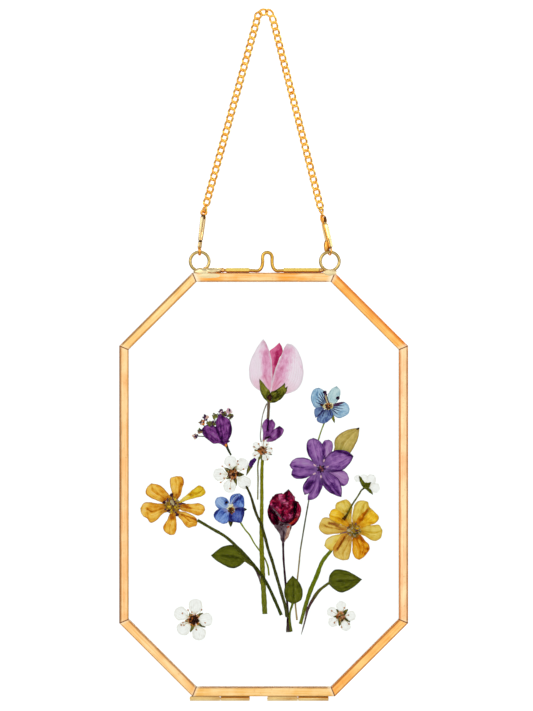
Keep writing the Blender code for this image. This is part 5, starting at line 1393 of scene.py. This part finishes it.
stem_moss = stem_finish("moss green stem", [(0.0, (84, 88, 30)), (0.4, (76, 76, 28)), (0.6, (56, 58, 14)),
    (1.0, (62, 72, 22))], (34, 40, 10), 140.0)
pressed("left_yellow_stem", [
    (stalk((197.4, 519.9, 212, 528.5, 225.3, 536.3, 235, 544.7, 243.5, 553, 251.2, 561.6, 260.4, 573.5,
        266.7, 583, 273.7, 597.4, 281.4, 615), [2.8, 3, 2.9, 3, 3.1, 3.2], LAYERS[0], 0.34, 5), 0),
], [stem_moss])


# ---------------------------------------------------------------- blue flower and its light green stem
# Four blue petals, from light blue to blue-violet, with a cream ring round a rough dark heart.
petal_blue = petal_finish("blue petal", (122, 154, 218), (60, 86, 168), (30, 36, 100), 6.0, 0.4,
    throat=(168, 160, 190), throat_end=0.35, rim=(46, 62, 134), contrast=1.2)
petal_sky = petal_finish("light blue petal", (158, 184, 226), (92, 122, 184), (56, 76, 140), 5.0, 0.5,
    throat=(196, 196, 206), throat_end=0.35, rim=(70, 96, 164))
petal_indigo = petal_finish("blue-violet petal", (86, 106, 182), (42, 48, 122), (24, 18, 70), 6.0, 0.4,
    throat=(40, 26, 74), throat_end=0.4, rim=(30, 34, 110))
y = LAYERS[2]
pressed("blue_flower", [
    (lens((237, 509), (247, 509.6), 4.6, y + 0.00012, tone=0), 5),
    (lens((230.4, 516), (230.8, 527), 4.6, y + 0.00012, tone=0.1), 5),
    (blade((230.4, 509, 224.5, 509.4, 219, 509, 216, 505.6, 215, 501.5, 217.1, 497.7),
        (230.4, 505, 228.9, 501.4, 225.6, 498, 221.4, 496.8), y), 1),
    (blade((232, 509, 230.9, 505, 229.6, 500.5, 231.5, 495.7, 235.6, 493.7, 239.4, 493.4),
        (236.5, 508, 243.2, 508, 244.3, 502, 243, 496), y - 0.00003), 0),
    (blade((230.2, 509.4, 220.4, 508.5, 215.2, 511.5, 213.7, 515, 215.1, 519.1, 219.4, 522.4),
        (228.7, 514, 229.1, 518, 227.6, 522.4, 223, 523.9), y - 0.00006), 0),
    (blade((232, 509.6, 230.2, 513, 228.6, 516.4, 228.9, 520.5, 232.1, 521.7, 237.6, 522.6),
        (237, 507.9, 243.5, 507.7, 244.4, 512.2, 243.2, 518, 241, 522.7), y - 0.00009), 2),
    (blade((231.6, 505.2, 232.2, 500.4, 235, 495.6, 238.3, 494), (234.2, 504, 238.2, 500.2), y - 0.00012,
        tone=0.3), 2),
    (stalk((231.4, 503.4, 233.6, 498.9, 237, 494.9), [0.5, 0.9, 0.5], y - 0.00018, 0.14, 2, 8, 1.2), 1),
    (bead((226.5, 502.6), y - 0.00014, (1.5, 1.1), 0.5, 0.1, lumps=0.2), 4),
    *sepals((231.6, 508.6), [(228.6, 503.4), (232.6, 502.4), (226.4, 508.6)], 1.7, y - 0.00013, 3,
        tone=0.8),
    (bead((230.8, 513), y + 0.0001, (3.2, 3.4), 0, 0.3), 2),
    (bead((231.3, 509.4), y - 0.00014, (3.8, 3.1), -0.5, 0.5, 14, 24, 0.2, 1, 0.14), 3),
    *hearts((231.6, 510.6), 3.1, y - 0.00022, 18, (4, 4, 6, 4, 4), 1, 0.8),
], [petal_blue, petal_sky, petal_indigo, cream_ring, dark_brown, sepal_olive, heart_brown], [
    (226.3, 501.5, 225.8, 504, 1.4, -2.2), (229, 505.5, 229.5, 507, 1.8, 1.2),
    (219, 501, 222, 505, 2.6, 0.45), (218, 508, 224, 509.5, 1, -0.3), (240.5, 497, 241.5, 503, 2.4, -0.5),
    (236.5, 499, 233.5, 504.5, 2.2, -0.6), (239, 494.5, 231, 504, 0.8, 1.8),
    (232, 502, 232.6, 503.6, 1.3, 1.6), (240.4, 504.6, 241.4, 505.4, 1.3, 0.8),
    (214.5, 514, 218, 509.8, 1.2, -0.9), (217, 512.8, 226, 511.6, 1.2, -0.4),
    (219, 519, 224, 521, 2.5, 0.3), (226, 515, 227, 518, 1.5, 0.4), (236, 513, 240, 518, 2.2, 0.2),
    (230, 517, 231.5, 520.5, 1.5, -0.6), (243.6, 510, 243, 519, 1, -0.7),
    (234, 521.5, 240, 522.5, 0.9, -0.6), (236, 509.5, 242, 509.6, 1.3, -0.7)])

stem_light = stem_finish("light green stem", [(0.0, (142, 150, 42)), (1.0, (128, 134, 18))], (94, 100, 16),
    90.0)
pressed("blue_stem", [
    (stalk((237.6, 517.5, 240.8, 523, 245.4, 530, 248.9, 534, 254.7, 544, 260.4, 551.8, 265.3, 559.5,
        268, 567, 269, 575.6), [1.8, 1.6, 1.5, 1.6, 1.9], LAYERS[3], 0.2, 3, 12), 0),
], [stem_light])


# ---------------------------------------------------------------- red flower and its dark stem
# A crimson head pressed from the side: its petals lie in folds over each other above a grey-mauve cone,
# with a black painted shadow in the fold low on the right. The thin stem is purple-black and flares at its
# cut end.
# Painted shade: the crimson and rose petals' dark throats, rims and crumple lines darken the folds and the
# places between them
petal_crimson = petal_finish("crimson petal", (206, 30, 80), (84, 4, 34), (24, 0, 8), 4.0, 0.6,
    throat=(36, 0, 14), throat_end=0.6, rim=(44, 0, 18), contrast=1.3, crumple_shade=0.85)
petal_rose = petal_finish("rose magenta petal", (222, 84, 138), (120, 10, 58), (40, 0, 18), 4.0, 0.6,
    throat=(50, 2, 24), throat_end=0.6, rim=(60, 2, 28), contrast=1.3, crumple_shade=0.85)
cone_mauve = petal_finish("grey-mauve cone", (140, 116, 124), (74, 50, 58), (34, 16, 26), 5.0, 0.6,
    contrast=1.6, crumple_shade=0.6)
cone_tan = petal_finish("tan cone", (190, 148, 130), (126, 80, 68), (70, 26, 30), 3.0, 0.6, contrast=1.6)
# Painted shadow: a black sheet along the fold low on the right and dark lumps on the cone
crease_shadow_black = petal_finish("black crease shadow", (58, 8, 24), (18, 2, 8), (10, 0, 4), 2.0, 0.3)
rim_orange = petal_finish("orange-red rim", (206, 66, 40), (150, 26, 26), (96, 8, 16), 3.0, 0.4)
y = LAYERS[1]
foot = np.array((283.4, 534.0))
# Rows of small folds from the back to the front: reach from the foot, half the spread in radians, and count
FOLD_ROWS = [(36.6, 0.23, 5), (33.4, 0.30, 5), (30.0, 0.36, 6), (26.4, 0.38, 6),
             (22.6, 0.36, 5), (18.8, 0.36, 4), (15.0, 0.30, 3)]
folds = []
for row, (reach, spread, count) in enumerate(FOLD_ROWS):
    for k in range(count):
        turn = 0.02 + 0.94 * spread * (2 * k / (count - 1) - 1) + 0.06 * math.sin(5 * row + 3 * k) + 0.01
        far = reach + 0.8 * math.sin(2.7 * row + 4.1 * k)
        at = foot + far * np.array((math.sin(turn), -math.cos(turn)))
        size = 3.4 + 0.7 * math.sin(3.3 * row + 1.9 * k)
        tone, lean = 0.35 + 0.3 * ((3 * k + row) % 4) / 3, 0.5 * math.sin(k + row)
        folds += rounds(foot, [(*at, size)], y - 0.00002 * row - 0.00001 * (k % 2), (row + 2 * k) % 3 // 2,
                        tone=tone, lean=lean, ragged=0.4)
pressed("red_flower", [
    (blade((282, 529, 274, 525.4, 269, 518.7, 267.6, 512.6, 268.8, 505.3, 270.9, 500.6, 272.6, 496.2),
        (283, 518, 282, 508, 278.6, 500), y + 0.00016), 0),
    (blade((287, 528, 287, 516, 290, 507, 294.5, 500.5, 298.4, 501.8),
        (292.2, 526.2, 296.8, 522.4, 299, 518.4, 301.2, 508.5), y + 0.00014, lean=0.4), 0),
    (blade((283.6, 527, 276, 514, 272.6, 505, 275, 494.6, 281.6, 493), (288, 515, 287.6, 505, 286.2, 496),
        y + 0.0001, tone=0.55), 1),
    (blade((285, 527, 279.2, 513, 279.6, 503, 283.4, 494, 288.6, 489.1), (291, 515, 295, 505, 293.4, 495.6),
        y + 0.00004, tone=0.45, crease=(0.4, -0.06)), 0),
    *folds,
    (stalk((296.4, 501.4, 295, 508, 294.4, 513.4, 292.8, 519.2, 289.4, 521.6, 284, 522.6),
        [0.8, 2.6, 2.6, 2.4, 3, 1.2], y - 0.00036, 0.14, 3, 12), 3),
    (lens((287.6, 526.6), (298, 517.8), 3, y - 0.0003, bow=-0.8, tone=0.35), 4),
    *[(lens(root, tip, wide, y - 0.00036, bow=0.3, tone=0.5 - 0.3 * (k % 2)), 2 + k % 2)
        for k, (root, tip, wide) in enumerate([((281, 518.6), (271.2, 506.2), 1.5),
        ((280.4, 523), (271.8, 510.4), 1.2), ((282.4, 520), (275, 510.8), 1.3),
        ((279.4, 524.6), (272.6, 516), 1.4)])],
    (blade((283, 543.4, 281.2, 540.6, 279.7, 534.4, 276.2, 528.8, 273.9, 526.2, 280.4, 521.8),
        (284.6, 541.8, 286.2, 538.2, 288.5, 534, 290.8, 529.6, 291.9, 526.2, 287.4, 523.2), y - 0.00034,
        crease=(0.5, -0.05), ragged=0.2), 2),
    (lens((284.8, 540.6), (290.2, 524.8), 5, y - 0.00038, bow=-0.3, tone=0.6), 5),
    *[(bead(at, y - 0.00044, half, tilt, 0.4, lumps=0.3, seed=half[0]), finish)
        for at, half, tilt, finish in [((277.2, 523.4), (1.9, 1.3), 0.6, 3),
        ((281.4, 524.6), (2.3, 1.1), 0.2, 3), ((279.6, 521.6), (1.2, 0.9), 0.2, 2),
        ((288.2, 526.8), (1.4, 1), 0.4, 4), ((290, 526.6), (0.8, 0.7), 0.1, 5),
        ((283.4, 519), (1.3, 0.9), 0.8, 2)]],
], [petal_crimson, petal_rose, cone_mauve, crease_shadow_black, rim_orange, cone_tan], [
    (269, 507, 276, 517, 1.4, -0.9), (275.5, 520, 276, 522, 2.5, -0.7), (268.5, 513, 272, 522, 1, -0.7),
    (294.5, 503, 296, 512, 1.8, -0.8), (287, 493, 286, 498, 1.2, -0.7), (284, 499, 288, 500, 0.8, -0.8),
    (273.5, 503, 275, 506, 1.2, -0.6), (281.5, 512, 284, 515, 1.4, -0.5), (292, 509, 291, 514, 0.9, -0.6),
    (279.5, 496.5, 280, 498, 1.4, 0.5), (283, 502, 286, 503, 1.4, 0.6), (290, 505, 290.6, 507, 1.2, 0.5),
    (278.5, 508.5, 279, 510, 1, 0.5), (298, 511.5, 297, 517, 1, 0.4), (285.5, 505, 286.5, 507, 1, 0.5),
    (277, 534, 281, 527, 2, -0.4), (288.5, 527, 289.4, 531, 1.4, 0.3), (283, 533, 283.4, 541, 1.2, -0.4)])

stem_plum = stem_finish("purple-black stem",
    [(0.0, (58, 26, 44)), (0.88, (46, 20, 34)), (1.0, (92, 78, 66))], (30, 14, 22), 110.0)
pressed("red_stem", [
    (stalk((283, 536, 283.1, 543.5, 283.5, 558, 285.3, 580.5, 287, 600, 288, 617.7, 288.8, 632.2),
        [2.4, 2, 2, 2.1, 2.1, 2.4, 5], LAYERS[2], 0.3, 4, 16), 0),
], [stem_plum])


# ---------------------------------------------------------------- three dark green leaves
# Small oval leaves on thin stalks that gather at the foot of the bunch. The middle one lies in front.
stalk_plum = stem_finish("purple-grey stalk", [(0.0, (90, 96, 24)), (0.32, (104, 100, 34)),
    (0.46, (76, 44, 44)), (0.7, (104, 76, 84)), (1.0, (150, 138, 136))], (52, 40, 34), 50.0)
stalk_green = stem_finish("green stalk", [(0.0, (110, 122, 24)), (1.0, (88, 92, 30))], (60, 66, 12), 50.0)
pressed("leaf_left", [
    (blade((246, 560.2, 241.5, 564.6, 233.7, 568.3, 223.2, 564.7, 215.4, 559.8, 210.9, 555.5),
        (245.2, 554.4, 240.8, 548.3, 233, 545.1, 223.1, 546.5, 215.6, 551.6), LAYERS[2],
        crease=(0.5, 0.008)), 0),
    (stalk((243.6, 558.4, 246.8, 560.6, 254.7, 567, 258.9, 576, 260.7, 584), [3.8, 3.8, 3.2, 2.4, 1],
        LAYERS[2] - 0.00004, 0.26, 3, 12), 1),
], [leaf_dark, stalk_plum])
pressed("leaf_right", [
    (blade((328.2, 583.6, 334.2, 589.3, 340.3, 592.3, 347.2, 590.8, 355.7, 585.3, 362, 579.4),
        (330.2, 574.2, 334.8, 569.9, 343.3, 569.9, 353.4, 574.1), LAYERS[1], crease=(0.5, 0.008)), 0),
    (stalk((332, 580.6, 328.4, 583.4, 318.9, 591, 312.7, 600, 308, 609, 305, 621, 301.3, 634.5),
        [2.4, 2.8, 3.4, 3.3, 2.6, 2, 1.5, 0.6], LAYERS[1] - 0.00004, 0.24, 3, 12), 1),
], [leaf_dark, stalk_plum])
pressed("leaf_middle", [
    (blade((293.2, 604.4, 286.4, 599.9, 284.1, 592, 286.4, 583.5, 292.6, 575.6),
        (301.5, 599.2, 302.6, 592, 299.9, 583.4), LAYERS[1] - 0.0001, crease=(0.5, 0.02)), 0),
    (stalk((293.2, 600, 292, 606, 290.6, 610, 289.8, 620, 291.4, 631.6), [2.6, 2.2, 2, 2.4, 3],
        LAYERS[1] - 0.00008, 0.22, 3, 12), 1),
], [leaf_dark, stalk_green])


# ---------------------------------------------------------------- right yellow flower and its stem
# A bigger yellow flower that has faded to straw, butter and orange: eight petals, two flaps turned over the
# top right one and a brown fold on the lower left one. Its thick green stem comes out from under the lower
# left.
petal_straw = petal_finish("straw petal", (228, 194, 96), (200, 150, 52), (150, 88, 36), 9.0, 0.28,
    throat=(170, 96, 30), throat_end=0.36, rim=(170, 124, 44), contrast=0.8)
petal_butter = petal_finish("butter yellow petal", (234, 206, 98), (208, 164, 44), (170, 112, 22), 9.0,
    0.25, throat=(186, 118, 30), throat_end=0.34, rim=(190, 148, 40), contrast=0.8)
petal_amber = petal_finish("amber petal", (240, 180, 44), (204, 118, 8), (156, 74, 6), 7.0, 0.35,
    throat=(150, 72, 10), throat_end=0.36, rim=(176, 104, 8))
petal_gold = petal_finish("golden petal", (248, 204, 56), (222, 158, 18), (176, 104, 12), 8.0, 0.3,
    throat=(190, 104, 20), throat_end=0.45, rim=(186, 134, 30))
fold_rust = petal_finish("rust brown fold", (226, 166, 62), (190, 118, 30), (120, 60, 14), 3.0, 0.4)
y = LAYERS[2]
pressed("right_yellow_flower", [
    *sepals((353, 530), [(350.4, 520.6), (364.4, 524.2), (339.8, 533.8)], 4.4, y + 0.00014, 5, tone=0.7),
    (blade((352.4, 529.4, 346, 521.4, 340, 513.7, 335.6, 508.2, 336.2, 503.6, 342.6, 500.2),
        (351.6, 521, 351.8, 513, 352.1, 506.2, 349.5, 501.8, 346.2, 499.4), y + 0.00006,
        crease=(0.6, 0.05)), 1),
    (blade((351.6, 530, 343, 525.2, 335.5, 522.6, 330.2, 520.4, 329, 515),
        (348.6, 522, 345.2, 515.3, 340.8, 510.1, 336, 508.6, 332.2, 509.6), y + 0.00002, tone=0.5,
        crease=(0.4, -0.05)), 9),
    (blade((350.6, 530.8, 344.2, 531.8, 338.6, 533.5, 333, 534, 327.3, 534.5, 322.1, 532.6, 318.9, 527.9,
        320, 522.5), (345, 526.3, 338.5, 523.7, 333, 520.7, 327.5, 517.5, 322.8, 518.3), y - 0.00003,
        crease=(0.5, 0.05)), 0),
    (blade((349.4, 532.6, 338.6, 534.4, 331.9, 536.1, 326.2, 539.8, 324.3, 545.7),
        (344.8, 537.7, 338, 547.7, 332.6, 550.7, 327.8, 549.2), y + 0.00002, tone=0.65), 1),
    (blade((351.8, 532.8, 346.4, 538.5, 340, 545.2, 333.3, 550.9, 334.1, 556, 338.3, 558.8, 343.2, 560.4),
        (352, 539, 351.4, 546.1, 350.2, 553.9, 348.1, 559.5), y - 0.00002, tone=0.55, crease=(0.6, -0.05)),
        0),
    (blade((354.4, 532.4, 352.5, 538.5, 352.5, 546.1, 353, 553.9, 355.7, 558.3, 359.2, 559.9), (360.7, 535,
        365.4, 541, 369.1, 545.2, 369.6, 549.4, 366.9, 553.4, 363.7, 557.1), y - 0.00006, tone=0.45,
        crease=(0.45, -0.05)), 2),
    (blade((355.4, 531, 361, 527.4, 366.1, 525.3, 372.8, 525.3, 378.9, 524.9, 382.6, 530.6), (360.5, 534.4,
        365.1, 536.3, 370.2, 539.5, 375.3, 540.9, 380.2, 538.6), y - 0.00003, crease=(0.5, -0.04)), 1),
    (blade((354.2, 530, 352.2, 519.6, 353.1, 511.3, 355.2, 504, 358.4, 501.1, 363.6, 500.5, 368.1, 502),
        (361.5, 528.2, 369.7, 525.1, 375.4, 523.1, 378.9, 518, 374.1, 511.2, 369.1, 506.2), y, tone=0.6,
        crease=(0.35, -0.05)), 1),
    (blade((355, 529, 362, 518.4, 369.6, 508.4, 374, 511.2),
        (361.5, 528.2, 369.7, 525.1, 375.4, 523.1, 378.7, 518), y - 0.00005, tone=0.5), 9),
    (blade((353.4, 528.4, 356.8, 520.4, 362.4, 513, 369.2, 507), (360.6, 523.4, 366.4, 515.4), y - 0.00008,
        tone=0.6), 2),
    (lens((351.6, 531.4), (339, 549), 8, y + 0.00012), 0),
    (bead((353.2, 531), y + 0.00008, (7, 6.4), 0, 0.3), 8),
    (blade((345, 533.2, 341.4, 535.6, 336.8, 542, 333.2, 549, 335, 551.6),
        (344.8, 538, 340.8, 545, 337.2, 551), y - 0.00013, crease=(0.6, 0.05)), 3),
    *hearts((353.8, 530.3), 6.8, y - 0.00013, 54, (8, 4, 8, 5, 8, 4, 6, 8), 1.2, 2),
    (bead((349.2, 530.2), y - 0.00024, (2.4, 1.6), 0.3, 0.9, 12, 18, 0.3, 1), 4),
    (bead((356, 533.6), y - 0.00022, (2.2, 1.5), 0.4, 0.3, 10, 16, 0.3, 2), 6),
    (bead((357.2, 528.4), y - 0.00022, (2, 1.4), 0.4, 0.4, 10, 16, 0.3, 3), 7),
], [petal_straw, petal_butter, petal_amber, fold_rust, heart_beige, sepal_purple, sepal_olive, petal_bright,
    heart_olive, petal_gold], [
    (340, 504.5, 346, 507.5, 2.5, 0.5), (349, 509, 349.5, 515, 2.2, -0.4),
    (337.5, 503.5, 341, 501.5, 1, -0.35), (343, 510.5, 351, 512.5, 0.9, -0.5),
    (332.5, 513, 336.5, 511, 2.4, 0.4), (341, 517, 346.5, 521.5, 2.6, -0.4),
    (336, 519, 344, 523.5, 1.2, -0.5), (343, 514, 345.5, 520, 0.8, -0.5),
    (322, 521.5, 329, 520.5, 2.6, 0.5), (329.2, 523.2, 338, 525.2, 1.2, -2),
    (336, 527, 343, 529, 1.4, -0.6), (322, 529.5, 331, 530.5, 2, 0.35), (324, 526, 332, 527.5, 0.7, -0.4),
    (327, 543, 332, 538.5, 3, 0.6), (328, 549, 332, 550, 1, -0.4), (352, 537, 350.5, 545, 2.2, -0.35),
    (340, 556, 346, 557, 3, 0.25), (346.5, 534.5, 337.5, 549, 0.9, -1.4),
    (361.9, 537.4, 363, 540, 3.6, -0.6), (367.4, 548.5, 367.6, 549, 1.2, -1),
    (365.6, 553, 365.2, 553.6, 1.1, -1), (355.4, 549, 357, 556, 2.6, 0.5), (362, 546, 363, 552, 1.5, -0.3),
    (361.5, 531.5, 367, 533, 2.2, -0.5), (373, 528.5, 379, 529, 2.6, 0.3), (356, 508, 359, 504, 3.2, 0.35),
    (357.5, 523.5, 369, 508.5, 2.2, -0.7), (367.4, 510.6, 362, 520, 0.8, -0.9),
    (378, 516.5, 378.3, 518.5, 1.2, -0.3), (363, 524.5, 371, 522.5, 1.2, -0.35),
    (354, 522, 355, 527, 1.6, -0.7), (349, 525, 352, 528.5, 1.8, -0.7), (353, 535, 357, 537, 2, -1)])

stem_bright = stem_finish("bright green stem", [(0.0, (124, 132, 34)), (0.5, (104, 118, 12)),
    (1.0, (120, 124, 40))], (66, 76, 6), 100.0)
pressed("right_yellow_stem", [
    (stalk((338.6, 540, 331.9, 549.7, 322.7, 561.4, 316.6, 576.7, 311.2, 589, 305.9, 605, 300.5, 624.2),
        [3, 3.4, 4, 4.4, 4.3, 3.8, 3.2], LAYERS[3], 0.34, 5), 0),
], [stem_bright])


# ---------------------------------------------------------------- two loose white flowers
# Two more white flowers without stems near the bottom corners: the left one has a dark heart in a ring of
# orange filaments, the right one a smaller greenish heart.
heart_black = petal_finish("near-black heart", (86, 50, 34), (26, 12, 10), (14, 6, 6), 5.0, 0.5)
y = LAYERS[1]
middle = (194.1, 619.9)
filaments = [(middle[0] + 6.6 * math.cos(t), middle[1] + 6.4 * math.sin(t))
             for t in np.arange(16) * math.tau / 16 + 0.2]
pressed("left_white_flower", [
    *sepals(middle, [(203, 612.9), (205.4, 627.4), (190.3, 632.3), (189.2, 613.3), (184.6, 621.2)], 5,
        y + 0.00012, 2, tone=0.5),
    *rounds(middle, [(195.6, 605.6, 6.6), (180.7, 613.5, 6.5), (206, 619.6, 6.5), (183.6, 628.5, 6.5),
        (199, 633.6, 6.6)], y),
    *[(stalk([middle, tip], [1.7, 0.9], y - 0.0001, 0.16, 2, 8), 5) for tip in filaments],
    *hearts(middle, 4.6, y - 0.00016, 34, (3, 3, 3, 1, 3, 3, 5), 1.15, 1.2),
    (bead((194.4, 620.2), y - 0.00026, (3, 2.6), 0.3, 0.1, 12, 18, 0.35), 3),
    *stamens(middle, [(188, 610), (182.4, 613.4), (191.8, 612.2), (183, 622.6), (181.3, 625), (184, 625.4),
        (185.7, 620.6), (205.2, 622.7), (201.6, 609.8), (196.4, 629.6)], y - 0.00012, 6, 4),
], [petal_white, heart_brown, sepal_olive, heart_black, pollen_tan, rust_spot, thread_pale])

middle = (341.0, 616.2)
pressed("right_white_flower", [
    *sepals(middle, [(336.2, 609), (348, 609), (333, 616.2), (339.3, 626.2), (350.4, 622.1)], 4,
        y + 0.00012, 2, tone=0.3),
    *rounds(middle, [(341.2, 605.9, 4.7), (331.8, 611.7, 4.6), (351, 615.8, 4.7), (332.9, 622.1, 4.6),
        (345.7, 626, 4.7)], y),
    *hearts(middle, 4.5, y - 0.00014, 32, (1, 2, 1, 5, 3), 1.05, 2.2),
    *stamens(middle, [(348.3, 615), (334.4, 622.6), (341.5, 627), (349, 624), (331.8, 610.8),
        (344.4, 607.8)], y - 0.00016, 4, 3),
], [petal_white, heart_brown, sepal_olive, pollen_tan, thread_pale, dark_brown])
